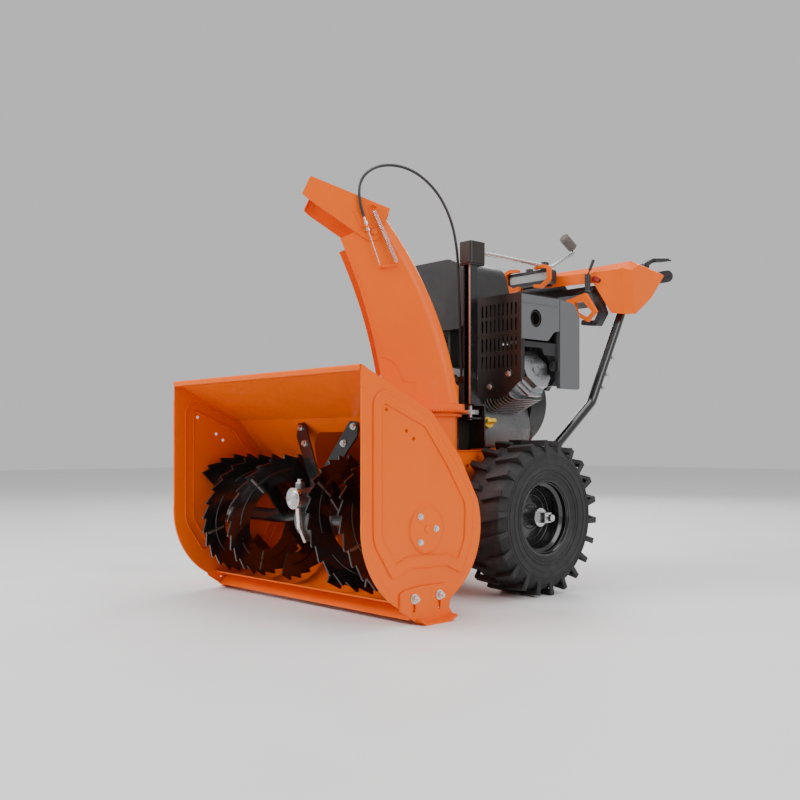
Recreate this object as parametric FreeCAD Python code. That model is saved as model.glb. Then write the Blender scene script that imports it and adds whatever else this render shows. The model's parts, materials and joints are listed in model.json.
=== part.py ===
import FreeCAD, Part
import math
import os

V = FreeCAD.Vector

# Driving dimensions, mm.  X is across the machine, Y runs back from the
# mouth of the auger housing and Z is up from the ground.
HOUSING_WIDTH = 826.0
HOUSING_HEIGHT = 600.0
SHEET = 3.0
AUGER_Y = 200.0
AUGER_Z = 222.0
WORM_Z = 280.0
SHELL_R = 183.0
AUGER_TIP_R = 173.0
AUGER_ROOT_R = 100.0
AUGER_PITCH = 250.0
DRUM_R = 185.0
DRUM_BACK = 548.0
CHUTE_X = 100.0
CHUTE_Y = 490.0
CHUTE_TURN = 38.0
CHUTE_HALF = 95.0
CHUTE_BASE_Z = 532.0
RING_R = 116.0
WHEEL_Y = 738.0
TYRE_R = 217.0
WHEEL_INNER_X = 188.0
TYRE_WIDTH = 164.0
FRAME_HALF = 168.0
DECK_Z = 405.0
CRANK_Z = 530.0
CRANKSHAFT_R = 12.5
HANDLE_X = 250.0
FRONT_END = -4.0
REAR_END = 1500.0
FIT = 0.05

MID_Y = (FRONT_END + REAR_END) / 2
PLATE_X = HOUSING_WIDTH / 2


# ---------------------------------------------------------------- helpers
def save(name, *solids):
    """Write one node, shifted so the origin is under the machine's middle."""
    shape = solids[0] if len(solids) == 1 else Part.makeCompound(list(solids))
    shape.translated(V(0, -MID_Y, 0)).exportStep(f"parts/{name}.step")


def box(x0, x1, y0, y1, z0, z1):
    return Part.makeBox(x1 - x0, y1 - y0, z1 - z0, V(x0, y0, z0))


def rod(start, end, radius):
    """Solid cylinder between two points."""
    axis = V(*end) - V(*start)
    return Part.makeCylinder(radius, axis.Length, V(*start), axis)


def pipe(start, end, outer, inner):
    return rod(start, end, outer).cut(rod(start, end, inner))


def mirrored(shape):
    """The same shape on the other side of the machine."""
    return shape.mirror(V(0, 0, 0), V(1, 0, 0))


def fused(first, *others):
    return first.fuse(list(others)).removeSplitter()


def cut(base, *tools):
    return base.cut(list(tools))


def on_x(x):
    """Map outline points (y, z) onto the plane X = x."""
    return lambda y, z: V(x, y, z)


def on_y(y):
    """Map outline points (x, z) onto the plane Y = y."""
    return lambda x, z: V(x, y, z)


def on_z(z):
    """Map outline points (x, y) onto the plane Z = z."""
    return lambda x, y: V(x, y, z)


def outline(points, radii, place):
    """Closed wire through points, each corner rounded by its radius."""
    if not isinstance(radii, (list, tuple)):
        radii = [radii] * len(points)
    corners = [place(*point) for point in points]
    starts = []
    ends = []
    middles = []
    for index, corner in enumerate(corners):
        before = (corners[index - 1] - corner).normalize()
        after = (corners[(index + 1) % len(corners)] - corner).normalize()
        radius = radii[index]
        half = before.getAngle(after) / 2
        reach = radius / math.tan(half)
        bisector = (before + after).normalize()
        starts.append(corner + before * reach)
        ends.append(corner + after * reach)
        middles.append(corner + bisector * (radius / math.sin(half) - radius))
    edges = []
    for index, end in enumerate(ends):
        if radii[index] > 0:
            arc = Part.Arc(starts[index], middles[index], end)
            edges.append(arc.toShape())
        following = starts[(index + 1) % len(corners)]
        if (following - end).Length > 1e-6:
            edges.append(Part.makeLine(end, following))
    return Part.Wire(edges)


def slab(points, radii, place, along):
    """Rounded outline pushed along a vector."""
    return Part.Face(outline(points, radii, place)).extrude(V(*along))


def bent_path(points, radius):
    """Open wire of straight runs joined by tangent arcs."""
    edges = []
    position = V(*points[0])
    for index in range(1, len(points) - 1):
        corner = V(*points[index])
        before = (V(*points[index - 1]) - corner).normalize()
        after = (V(*points[index + 1]) - corner).normalize()
        half = before.getAngle(after) / 2
        reach = radius / math.tan(half)
        start = corner + before * reach
        end = corner + after * reach
        bisector = (before + after).normalize()
        middle = corner + bisector * (radius / math.sin(half) - radius)
        edges.append(Part.makeLine(position, start))
        edges.append(Part.Arc(start, middle, end).toShape())
        position = end
    edges.append(Part.makeLine(position, V(*points[-1])))
    return Part.Wire(edges)


def bent_bar(points, bend, radius):
    """Round bar along a bent path."""
    path = bent_path(points, bend)
    axis = V(*points[1]) - V(*points[0])
    section = Part.Wire(Part.makeCircle(radius, V(*points[0]), axis))
    return path.makePipeShell([section], True, False)


def hexagon(centre, axis, across, height):
    """Hexagonal head or nut standing on a face."""
    radius = across / math.sqrt(3)
    direction = V(*axis).normalize()
    side = direction.cross(V(0, 0, 1) if abs(direction.z) < 0.9 else V(1, 0, 0)).normalize()
    other = direction.cross(side)
    corners = []
    for step in range(7):
        angle = math.radians(60 * step)
        corners.append(V(*centre) + side * radius * math.cos(angle) + other * radius * math.sin(angle))
    return Part.Face(Part.makePolygon(corners)).extrude(direction * height)


def bolt(centre, axis, across=13.0, height=6.0):
    """Bolt head with its washer, standing on a face."""
    direction = V(*axis).normalize()
    washer = Part.makeCylinder(across * 0.72, 1.6, V(*centre), direction)
    head = hexagon(V(*centre) + direction * 1.6, direction, across, height)
    return fused(washer, head)


def turned(shape, centre, axis, angle):
    copy = shape.copy()
    copy.rotate(V(*centre), V(*axis), angle)
    return copy


# ------------------------------------------------------- auger housing
SHELL_KNEE = (218.0, 492.0)
SHELL_HIP = (305.0, 390.0)
SHELL_LIP_ANGLE = -112.0


def shell_point(radius, angle):
    reach = math.radians(angle)
    return (AUGER_Y + radius * math.cos(reach), AUGER_Z + radius * math.sin(reach))


def shell_region(offset):
    """Everything inside the housing's rolled back, seen from the side."""
    radius = SHELL_R + offset
    top = (-40.0, HOUSING_HEIGHT - 4 + 19 + offset * 1.1)
    knee = (SHELL_KNEE[0] + offset * 0.7, SHELL_KNEE[1] + offset * 0.8)
    hip = (SHELL_HIP[0] + offset * 0.85, SHELL_HIP[1] + offset * 0.45)
    tangent = shell_point(radius, 18)
    bottom = shell_point(radius, -47)
    lip = shell_point(radius, SHELL_LIP_ANGLE)
    place = on_x(-PLATE_X + SHEET)
    edges = [
        Part.makeLine(place(*top), place(*knee)),
        Part.makeLine(place(*knee), place(*hip)),
        Part.makeLine(place(*hip), place(*tangent)),
        Part.Arc(place(*tangent), place(*bottom), place(*lip)).toShape(),
        Part.makeLine(place(*lip), place(-40.0, lip[1])),
        Part.makeLine(place(-40.0, lip[1]), place(*top)),
    ]
    return Part.Face(Part.Wire(edges)).extrude(V(HOUSING_WIDTH - 2 * SHEET, 0, 0))


def drum_core(radius, start, end):
    return rod((0, start, WORM_Z), (0, end, WORM_Z), radius)


def housing_shell():
    shell = shell_region(SHEET).cut(shell_region(0))
    mouth = box(-PLATE_X - 1, PLATE_X + 1, -60, 0, -50, 700)
    front_of_lip = box(-PLATE_X - 1, PLATE_X + 1, -60, shell_point(SHELL_R, SHELL_LIP_ANGLE)[0], -50, 100)
    shell = cut(shell, mouth, front_of_lip, drum_core(DRUM_R, 250, 450))
    rim_outline = [(FRONT_END, 586), (16, 584), (16, 596), (FRONT_END, 602)]
    rim = slab(rim_outline, [5, 4, 3, 5], on_x(-PLATE_X + SHEET), (HOUSING_WIDTH - 2 * SHEET, 0, 0))
    return fused(shell, rim)


def plate_outline_edges(x):
    place = on_x(x)
    points = {
        "top": (0.0, 600.0), "knee": (220.0, 497.0), "hip": (314.0, 393.0),
        "rear_top": shell_point(188, 20), "rear": shell_point(188, -20),
        "rear_bottom": shell_point(188, -62), "heel": (272.0, 34.0), "toe": (132.0, 34.0),
        "front_bottom": (126.0, 37.0), "front_mid": (26.0, 130.0), "front_low": (0.0, 250.0),
    }
    at = {name: place(*point) for name, point in points.items()}
    return [
        Part.makeLine(at["top"], at["knee"]),
        Part.makeLine(at["knee"], at["hip"]),
        Part.makeLine(at["hip"], at["rear_top"]),
        Part.Arc(at["rear_top"], at["rear"], at["rear_bottom"]).toShape(),
        Part.makeLine(at["rear_bottom"], at["heel"]),
        Part.makeLine(at["heel"], at["toe"]),
        Part.makeLine(at["toe"], at["front_bottom"]),
        Part.Arc(at["front_bottom"], at["front_mid"], at["front_low"]).toShape(),
        Part.makeLine(at["front_low"], at["top"]),
    ]


BEAD_LOOP = [(33, 561), (212, 488), (289, 393), (362, 284), (356, 180), (320, 106),
             (267, 130), (147, 132), (92, 110), (33, 200)]
BEAD_RADII = [36, 40, 60, 80, 60, 14, 22, 22, 14, 80]
BEAD_WIDTH = 30.0
BEAD_HEIGHT = 3.0


def pressed_loop(x, inset, height):
    """Raised band of a side plate, drawn in by inset on both edges."""
    outer = outline(BEAD_LOOP, BEAD_RADII, on_x(x))
    band_outer = outer.makeOffset2D(-inset) if inset else outer
    band_inner = outer.makeOffset2D(inset - BEAD_WIDTH)
    step = V(height, 0, 0)
    return Part.Face(band_outer).extrude(step).cut(Part.Face(band_inner).extrude(step))


def diamond(y, z, x):
    size = 6.0
    points = [(y, z - size), (y + size, z), (y, z + size), (y - size, z)]
    return slab(points, 0.8, on_x(x), (30, 0, 0))


def side_plate():
    """Side plate of the +X side: pressed sheet with a folded front edge."""
    inner = PLATE_X - SHEET
    plate = Part.Face(Part.Wire(plate_outline_edges(inner))).extrude(V(SHEET, 0, 0))
    bead = pressed_loop(PLATE_X - 1, 0, BEAD_HEIGHT + 1)
    hollow = pressed_loop(inner - 1, 2.5, BEAD_HEIGHT + 1)
    boss = Part.makeCone(60, 55, 4.4, V(PLATE_X - 0.4, AUGER_Y, AUGER_Z), V(1, 0, 0))
    boss_hollow = Part.makeCone(58.5, 53.5, 4.4, V(inner - 0.4, AUGER_Y, AUGER_Z), V(1, 0, 0))
    fold_outer = Part.Face(Part.Wire(plate_outline_edges(PLATE_X - 0.4))).extrude(V(4.4, 0, 0))
    fold_keep = box(PLATE_X - 1, PLATE_X + 5, -1, 100, 60, 546)
    inset = fold_outer.copy()
    inset.translate(V(0, 13, 6))
    fold = fold_outer.common(fold_keep).cut(inset)
    plate = fused(plate, bead, boss, fold)
    plate = cut(plate, hollow, boss_hollow)
    holes = [diamond(y, z, PLATE_X - 20) for y, z in ((75, 500), (137, 452), (160, 434))]
    shaft_hole = rod((PLATE_X - 10, AUGER_Y, AUGER_Z), (PLATE_X + 10, AUGER_Y, AUGER_Z), 7)
    return cut(plate, shaft_hole, *holes)


SHOE_OUTLINE = [(112, 78), (112, 39), (156, 11), (174, 0), (259, 0), (284, 12), (272, 31),
                (275, 60), (261, 90), (179, 90), (128, 84)]
SHOE_BOLTS = ((156.0, 62.0), (238.0, 64.0))
SHOE_X = PLATE_X + 0.5


def skid_shoe():
    plate = slab(SHOE_OUTLINE, [6, 8, 10, 4, 4, 4, 6, 10, 8, 10, 8], on_x(SHOE_X), (5, 0, 0))
    lip_points = [(160, 12), (176, 0), (257, 0), (280, 12), (277, 17), (255, 5), (178, 5), (163, 17)]
    lip = slab(lip_points, 1.2, on_x(SHOE_X + 4), (22, 0, 0))
    shoe = fused(plate, lip)
    slots = []
    for y, z in SHOE_BOLTS:
        points = [(y - 4.5, 30), (y + 4.5, 30), (y + 4.5, z + 4.8), (y - 4.5, z + 4.8)]
        slots.append(slab(points, 4.4, on_x(SHOE_X - 1), (10, 0, 0)))
    return cut(shoe, *slots)


def shoe_bolts():
    parts = []
    for y, z in SHOE_BOLTS:
        face = SHOE_X + 5
        washer = rod((face, y, z), (face + 2, y, z), 12)
        nut = hexagon((face + 2, y, z), (1, 0, 0), 15, 8)
        stud = rod((SHOE_X + 1, y, z), (face + 16, y, z), 4.3)
        parts.append(fused(washer, nut, stud))
    return parts


def scraper_bar():
    points = [(146, 12), (151, 11), (182, 36), (176, 40)]
    bar = slab(points, 1.0, on_x(-PLATE_X + SHEET + 1), (HOUSING_WIDTH - 2 * SHEET - 2, 0, 0))
    return bar.cut(shell_region(SHEET + 0.2))


def scraper_bolts():
    return [hexagon((x, 166.6, 23.45), (0, 25, -31), 11, 5) for x in (-330, -165, 0, 165, 330)]


def housing_bolts():
    """Flange bolts of the bearings, and the screws in the roof."""
    parts = []
    for y, z in ((177, 252), (228, 222), (177, 192)):
        right = bolt((PLATE_X + 4, y, z), (1, 0, 0), 11, 4.5)
        parts += [right, mirrored(right)]
    for x in (-315, -224, -19, 102, 224, 315):
        y = 120.0 if abs(x) < 150 else 60.0
        roof = 599.0 - y * 105.0 / 218.0
        parts.append(bolt((x, y, roof + 4.5), (0, 0.43, 0.9), 9, 3.5))
    return parts


def bearing_flange():
    """Flanged bush that carries one end of the auger shaft."""
    face = PLATE_X - SHEET + 3.6
    flange = rod((face - 5, AUGER_Y, AUGER_Z), (face, AUGER_Y, AUGER_Z), 40)
    nose = rod((face - 24, AUGER_Y, AUGER_Z), (face - 5, AUGER_Y, AUGER_Z), 19)
    bore = rod((face - 30, AUGER_Y, AUGER_Z), (face - 1.5, AUGER_Y, AUGER_Z), SHAFT_R + FIT)
    return fused(flange, nose).cut(bore)


# ------------------------------------------------------- impeller housing
def impeller_housing():
    drum = pipe((0, 200, WORM_Z), (0, DRUM_BACK, WORM_Z), DRUM_R + SHEET, DRUM_R)
    back = rod((0, DRUM_BACK - SHEET, WORM_Z), (0, DRUM_BACK, WORM_Z), DRUM_R + SHEET)
    neck = rod((CHUTE_X, CHUTE_Y, WORM_Z), (CHUTE_X, CHUTE_Y, 504), 95)
    neck_front = neck.common(box(-300, 400, 200, DRUM_BACK, 0, 700))
    shelf = rod((CHUTE_X, CHUTE_Y, 430), (CHUTE_X, CHUTE_Y, 504), 95)
    lip = rod((CHUTE_X, CHUTE_Y, 498), (CHUTE_X, CHUTE_Y, 505), 108)
    bore = rod((CHUTE_X, CHUTE_Y, WORM_Z), (CHUTE_X, CHUTE_Y, 506), 92)
    bore_front = bore.common(box(-300, 400, 200, DRUM_BACK - SHEET, 0, 700))
    neck_bore = rod((CHUTE_X, CHUTE_Y, 433), (CHUTE_X, CHUTE_Y, 506), 92)
    housing = fused(drum, back, neck_front, shelf, lip)
    housing = cut(housing, bore_front, neck_bore, drum_core(DRUM_R, 150, DRUM_BACK - SHEET))
    housing = housing.cut(shell_region(SHEET))
    shaft = rod((0, 500, WORM_Z), (0, 600, WORM_Z), 25)
    return housing.cut(shaft)


def impeller_bearing():
    flange = rod((0, DRUM_BACK + 0.2, WORM_Z), (0, DRUM_BACK + 6, WORM_Z), 45)
    nose = rod((0, DRUM_BACK - 8, WORM_Z), (0, DRUM_BACK + 14, WORM_Z), 24)
    bore = rod((0, 500, WORM_Z), (0, 600, WORM_Z), IMPELLER_SHAFT_R + FIT)
    return fused(flange, nose).cut(bore)


# ------------------------------------------------------- gearcase and augers
SHAFT_R = 12.5
IMPELLER_SHAFT_R = 11.0
PULLEY_Y = 612.0
PULLEY_WIDTH = 22.0
GROOVE_DEPTH = 10.0
DRIVEN_PULLEY_R = 92.0
ENGINE_PULLEY_R = 42.0
CASE_HALF = 34.0
PLUG_Y = 138.0


def gearcase_body():
    wheel_case = rod((-CASE_HALF, AUGER_Y, AUGER_Z), (CASE_HALF, AUGER_Y, AUGER_Z), 56)
    hubs = rod((-CASE_HALF - 16, AUGER_Y, AUGER_Z), (CASE_HALF + 16, AUGER_Y, AUGER_Z), 24)
    worm_tube = rod((0, 124, WORM_Z), (0, 300, WORM_Z), 27)
    nose = rod((0, 296, WORM_Z), (0, 322, WORM_Z), 21)
    rim = rod((-4, AUGER_Y, AUGER_Z), (4, AUGER_Y, AUGER_Z), 64)
    plug_boss = rod((0, PLUG_Y, WORM_Z + 10), (0, PLUG_Y, WORM_Z + 38), 13)
    return fused(wheel_case, hubs, worm_tube, nose, rim, plug_boss)


def gearcase_cavity():
    gear_room = rod((-17, AUGER_Y, AUGER_Z), (17, AUGER_Y, AUGER_Z), 48)
    worm_room = rod((0, 132, WORM_Z), (0, 296, WORM_Z), 17)
    shaft_bore = rod((-80, AUGER_Y, AUGER_Z), (80, AUGER_Y, AUGER_Z), SHAFT_R + FIT)
    worm_bore = rod((0, 290, WORM_Z), (0, 330, WORM_Z), IMPELLER_SHAFT_R + FIT)
    front_mouth = rod((0, 120, WORM_Z), (0, 134, WORM_Z), 17)
    return gear_room.fuse([worm_room, shaft_bore, worm_bore, front_mouth])


def gearcase_half(side):
    """Half of the gear casing, split on the machine's centre plane."""
    body = gearcase_body().cut(gearcase_cavity())
    if side > 0:
        return body.common(box(0, 90, 60, 360, 100, 400))
    return body.common(box(-90, 0, 60, 360, 100, 400))


def gearcase_cap():
    ring = rod((0, 114, WORM_Z), (0, 124, WORM_Z), 28)
    face = rod((0, 111, WORM_Z), (0, 114, WORM_Z), 21)
    spigot = rod((0, 124, WORM_Z), (0, 130, WORM_Z), 16.8)
    return fused(ring, face, spigot)


def oil_plug():
    return fused(rod((0, PLUG_Y, WORM_Z + 38), (0, PLUG_Y, WORM_Z + 42), 12),
                 hexagon((0, PLUG_Y, WORM_Z + 42), (0, 0, 1), 14, 8))


def gearcase_finger():
    """Drip finger that hangs from the nose of the casing."""
    stem = rod((0, 132, 256), (0, 137, 200), 8)
    tip = rod((0, 137, 202), (0, 156, 164), 6)
    pieces = fused(stem, tip).cut(gearcase_body()).Solids
    return max(pieces, key=lambda piece: piece.Volume)


BRACE_TIP = V(126, 228, 484)
BRACE_SHEET = 5.0


def gearcase_brace():
    """V of two flat arms from the casing's nose up to the housing's back."""
    foot = V(10, 196, 316)
    along = (BRACE_TIP - foot).normalize()
    across = along.cross(V(0, 1, 0)).normalize()
    out = across.cross(along)
    length = (BRACE_TIP - foot).Length
    corners = [(0, -20), (length - 30, -27), (length, -4), (length - 12, 22), (0, 20)]
    points = [foot + along * a + across * b for a, b in corners]
    arm = Part.Face(Part.makePolygon(points + points[:1])).extrude(out * BRACE_SHEET)
    collar = pipe((0, 183, WORM_Z), (0, 219, WORM_Z), 34, 27 + FIT)
    web = box(-20, 20, 186, 216, WORM_Z + 30, WORM_Z + 50)
    brace = arm.fuse([mirrored(arm), collar, web])
    return brace.cut([gearcase_body(), shell_region(SHEET + 40).cut(shell_region(-0.2))])


def brace_frame():
    """Direction along an arm of the brace, and the way its front faces."""
    foot = V(10, 196, 316)
    along = (BRACE_TIP - foot).normalize()
    across = along.cross(V(0, 1, 0)).normalize()
    return along, across.cross(along) * -1


def brace_bolts():
    along, front = brace_frame()
    parts = []
    for distance in (20, 74):
        foot = BRACE_TIP - along * distance
        right = bolt(foot, front, 13, 6)
        parts += [right, mirrored(right)]
    return parts


def worm_gear():
    wheel = rod((-9, AUGER_Y, AUGER_Z), (9, AUGER_Y, AUGER_Z), 43)
    hub = rod((-15, AUGER_Y, AUGER_Z), (15, AUGER_Y, AUGER_Z), 22)
    wheel = fused(wheel, hub)
    notch = box(-10, 10, -2.2, 2.2, 38, 44)
    notch.translate(V(0, AUGER_Y, AUGER_Z))
    notches = []
    for step in range(20):
        notches.append(turned(notch, (0, AUGER_Y, AUGER_Z), (1, 0, 0), 18 * step))
    bore = rod((-20, AUGER_Y, AUGER_Z), (20, AUGER_Y, AUGER_Z), SHAFT_R)
    return cut(wheel, bore, *notches)


def auger_shaft():
    end = PLATE_X - SHEET + 1.0
    return rod((-end, AUGER_Y, AUGER_Z), (end, AUGER_Y, AUGER_Z), SHAFT_R)


SLEEVE_START = 74.0
SLEEVE_END = 386.0
FLIGHT_START = 100.0
FLIGHT_END = 394.0
AUGER_PHASE = -108.0
TEETH = 26
TOOTH_DEPTH = 11.0


def flight(phase):
    """One toothed ribbon of the +X auger, as a helix about the shaft."""
    length = FLIGHT_END - FLIGHT_START
    path = Part.makeLongHelix(AUGER_PITCH, length, AUGER_ROOT_R, 0, False)
    thickness = 5.0
    section = Part.makePolygon([
        V(AUGER_ROOT_R, 0, -thickness / 2), V(AUGER_TIP_R, 0, -thickness / 2),
        V(AUGER_TIP_R, 0, thickness / 2), V(AUGER_ROOT_R, 0, thickness / 2),
        V(AUGER_ROOT_R, 0, -thickness / 2)])
    sweep = Part.BRepOffsetAPI.MakePipeShell(path)
    sweep.setBiNormalMode(V(0, 0, 1))
    sweep.add(section)
    sweep.build()
    sweep.makeSolid()
    ribbon = sweep.shape()
    notches = []
    for step in range(TEETH):
        start = math.radians(360 / TEETH * step)
        end = math.radians(360 / TEETH * (step + 0.86))
        deep = AUGER_TIP_R - TOOTH_DEPTH
        out = AUGER_TIP_R + 12
        corners = [
            V(deep * math.cos(start), deep * math.sin(start), -20),
            V(out * math.cos(start), out * math.sin(start), -20),
            V(out * math.cos(end), out * math.sin(end), -20),
            V((AUGER_TIP_R - 0.5) * math.cos(end), (AUGER_TIP_R - 0.5) * math.sin(end), -20),
        ]
        wedge = Part.Face(Part.makePolygon(corners + corners[:1])).extrude(V(0, 0, length + 40))
        notches.append(wedge)
    ribbon = ribbon.cut(notches)
    ribbon.rotate(V(0, 0, 0), V(1, 1, 1), 120)
    ribbon.rotate(V(0, 0, 0), V(1, 0, 0), phase)
    ribbon.translate(V(FLIGHT_START, AUGER_Y, AUGER_Z))
    return ribbon


def flight_angle(x, phase):
    return phase + 360.0 * (x - FLIGHT_START) / AUGER_PITCH


def flight_arm(x, phase):
    """Flat bar that ties a ribbon to the sleeve where it passes x."""
    arm = box(x - 3, x + 3, -18, 18, 14, AUGER_ROOT_R + 22)
    arm.translate(V(0, AUGER_Y, AUGER_Z))
    return turned(arm, (0, AUGER_Y, AUGER_Z), (1, 0, 0), flight_angle(x, phase) - 90)


def auger(phase):
    sleeve = rod((SLEEVE_START, AUGER_Y, AUGER_Z), (SLEEVE_END, AUGER_Y, AUGER_Z), 19)
    pieces = []
    for start in (phase, phase + 180):
        pieces.append(flight(start))
        for x in (FLIGHT_START + 38, FLIGHT_END - 44):
            pieces.append(flight_arm(x, start))
    bore = rod((SLEEVE_START - 5, AUGER_Y, AUGER_Z), (SLEEVE_END + 5, AUGER_Y, AUGER_Z), SHAFT_R)
    return sleeve.fuse(pieces).cut(bore)


# ------------------------------------------------------- impeller
BLADE_FRONT = 379.0


def impeller_blade(angle):
    web = box(-3, 3, BLADE_FRONT, 505, 16, 168)
    tip_outline = [(-3, 150), (3, 150), (30, 170), (27, 176)]
    tip = slab(tip_outline, 0.8, on_y(BLADE_FRONT), (0, 505 - BLADE_FRONT, 0))
    blade = fused(web, tip)
    blade.translate(V(0, 0, WORM_Z))
    return turned(blade, (0, 0, WORM_Z), (0, 1, 0), angle)


def impeller():
    hub = rod((0, 345, WORM_Z), (0, 520, WORM_Z), 22)
    disc = rod((0, 508, WORM_Z), (0, 514, WORM_Z), 90)
    blades = [impeller_blade(90 * step + 20) for step in range(4)]
    bore = rod((0, 330, WORM_Z), (0, 540, WORM_Z), IMPELLER_SHAFT_R)
    return fused(hub, disc, *blades).cut(bore)


def impeller_shaft():
    shaft = rod((0, 136, WORM_Z), (0, PULLEY_Y + 26, WORM_Z), IMPELLER_SHAFT_R)
    threads = [rod((0, y, WORM_Z), (0, y + 5, WORM_Z), 13.5) for y in range(170, 231, 10)]
    return fused(shaft, *threads)


def grooved_pulley(centre, radius, bore):
    """Belt pulley with an axis along Y."""
    x, y, z = centre
    wheel = rod((x, y, z), (x, y + PULLEY_WIDTH, z), radius)
    groove = pipe((x, y + 4, z), (x, y + PULLEY_WIDTH - 4, z), radius + 2, radius - GROOVE_DEPTH)
    return wheel.cut([groove, rod((x, y - 1, z), (x, y + PULLEY_WIDTH + 1, z), bore)])


def auger_belt():
    """Closed belt around the crankshaft's pulley and the driven pulley below it."""
    y = PULLEY_Y + 4.5
    low = V(0, y, WORM_Z)
    high = V(0, y, CRANK_Z)
    inner_low = DRIVEN_PULLEY_R - GROOVE_DEPTH + 0.5
    inner_high = ENGINE_PULLEY_R - GROOVE_DEPTH + 0.5
    lean = math.asin((inner_low - inner_high) / (CRANK_Z - WORM_Z))
    side = V(math.cos(lean), 0, math.sin(lean))
    other = V(-math.cos(lean), 0, math.sin(lean))

    def loop(extra):
        r_low = inner_low + extra
        r_high = inner_high + extra
        edges = [
            Part.makeLine(low + side * r_low, high + side * r_high),
            Part.Arc(high + side * r_high, high + V(0, 0, r_high), high + other * r_high).toShape(),
            Part.makeLine(high + other * r_high, low + other * r_low),
            Part.Arc(low + other * r_low, low - V(0, 0, r_low), low + side * r_low).toShape(),
        ]
        return Part.Face(Part.Wire(edges)).extrude(V(0, PULLEY_WIDTH - 9, 0))

    return loop(8).cut(loop(0))


# ------------------------------------------------------- chute
CABLE_BEND = 42.0


def chute_place(s, t, z):
    """Point given by throw direction, side offset and height."""
    turn = math.radians(CHUTE_TURN)
    x = CHUTE_X - math.sin(turn) * s + math.cos(turn) * t
    y = CHUTE_Y - math.cos(turn) * s - math.sin(turn) * t
    return V(x, y, z)


def chute_slab(points, radii, t, thickness):
    """Outline in the chute's side plane, thickened across it."""
    wire = outline(points, radii, lambda s, z: chute_place(s, t, z))
    step = chute_place(0, thickness, 0) - chute_place(0, 0, 0)
    return Part.Face(wire).extrude(step)


def chute_rod(start, end, radius):
    first = chute_place(*start)
    last = chute_place(*end)
    return Part.makeCylinder(radius, (last - first).Length, first, last - first)


def chute_box(s0, s1, t0, t1, z0, z1):
    return chute_slab([(s0, z0), (s1, z0), (s1, z1), (s0, z1)], 0, t0, t1 - t0)


def chute_trough(offset):
    """Solid whose back and sides are the chute wall, moved in by offset."""
    back_low = chute_place(-92 + offset, -CHUTE_HALF + offset, CHUTE_BASE_Z)
    back_mid = chute_place(-30 + offset, -CHUTE_HALF + offset, 779)
    back_top = chute_place(107 + offset * 0.8, -CHUTE_HALF + offset, 1033)
    ahead_top = chute_place(233, -CHUTE_HALF + offset, 973)
    ahead_mid = chute_place(188, -CHUTE_HALF + offset, 860)
    ahead_low = chute_place(125, -CHUTE_HALF + offset, 610)
    toe = chute_place(90 - offset, -CHUTE_HALF + offset, CHUTE_BASE_Z)
    edges = [
        Part.Arc(back_low, back_mid, back_top).toShape(),
        Part.makeLine(back_top, ahead_top),
        Part.Arc(ahead_top, ahead_mid, ahead_low).toShape(),
        Part.makeLine(ahead_low, toe),
        Part.makeLine(toe, back_low),
    ]
    face = Part.Face(Part.Wire(edges))
    across = chute_place(0, 2 * (CHUTE_HALF - offset), 0) - chute_place(0, 0, 0)
    solid = face.extrude(across)
    spine = []
    for edge in solid.Edges:
        same_low = min((vertex.Point - back_low).Length for vertex in edge.Vertexes)
        far_low = min((vertex.Point - (back_low + across)).Length for vertex in edge.Vertexes)
        touches_low = min(same_low, far_low) < 1e-3
        if touches_low and edge.Length > 400 and edge.BoundBox.ZLength > 400:
            spine.append(edge)
    return solid.makeFillet(34 - offset * 0.5, spine)


def chute_body():
    wall = 3.0
    outer = chute_trough(0)
    inner = chute_trough(wall)
    inner_ahead = inner.copy()
    inner_ahead.translate(chute_place(60, 0, 0) - chute_place(0, 0, 0))
    mouth = inner_ahead.common(chute_box(-200, 400, -CHUTE_HALF + wall, CHUTE_HALF - wall, 640, 1200))
    above = inner.copy()
    above.translate(chute_place(4.2, 0, 5) - chute_place(0, 0, 0))
    below = inner.copy()
    below.translate(V(0, 0, -2))
    trough = cut(outer, inner, mouth, above.common(chute_box(-200, 400, -200, 200, 960, 1200)),
                 below.common(chute_box(-200, 400, -200, 200, 400, 560)))
    axis_low = (CHUTE_X, CHUTE_Y, CHUTE_BASE_Z)
    tube = pipe(axis_low, (CHUTE_X, CHUTE_Y, 640), 99.3, 93.7)
    above_throat = chute_slab([(-140, 575), (140, 632), (140, 760), (-140, 760)], 0, -130, 260)
    tube = tube.cut(above_throat)
    trough = trough.cut(rod((CHUTE_X, CHUTE_Y, CHUTE_BASE_Z - 5), (CHUTE_X, CHUTE_Y, 596), 93.7))
    body = trough.fuse(tube)
    pivot_holes = chute_rod((PIVOT_S, -120, PIVOT_Z), (PIVOT_S, 120, PIVOT_Z), 4.5)
    return body.cut(pivot_holes)


def chute_ring():
    """Toothed turning ring clamped round the chute's base."""
    low = (CHUTE_X, CHUTE_Y, 509)
    high = (CHUTE_X, CHUTE_Y, CHUTE_BASE_Z)
    ring = pipe(low, high, RING_R, 92.5)
    gear = pipe(low, (CHUTE_X, CHUTE_Y, 515), GEAR_TIP_R, RING_R - 2)
    notch = box(GEAR_TIP_R - 5.5, GEAR_TIP_R + 2, -2.1, 2.1, 505, 520)
    notch.translate(V(CHUTE_X, CHUTE_Y, 0))
    notches = []
    for step in range(GEAR_TEETH):
        turn = 360.0 / GEAR_TEETH * (step + 0.5) + PINION_BEARING
        notches.append(turned(notch, (CHUTE_X, CHUTE_Y, 0), (0, 0, 1), turn))
    return cut(ring.fuse(gear), *notches)


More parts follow.
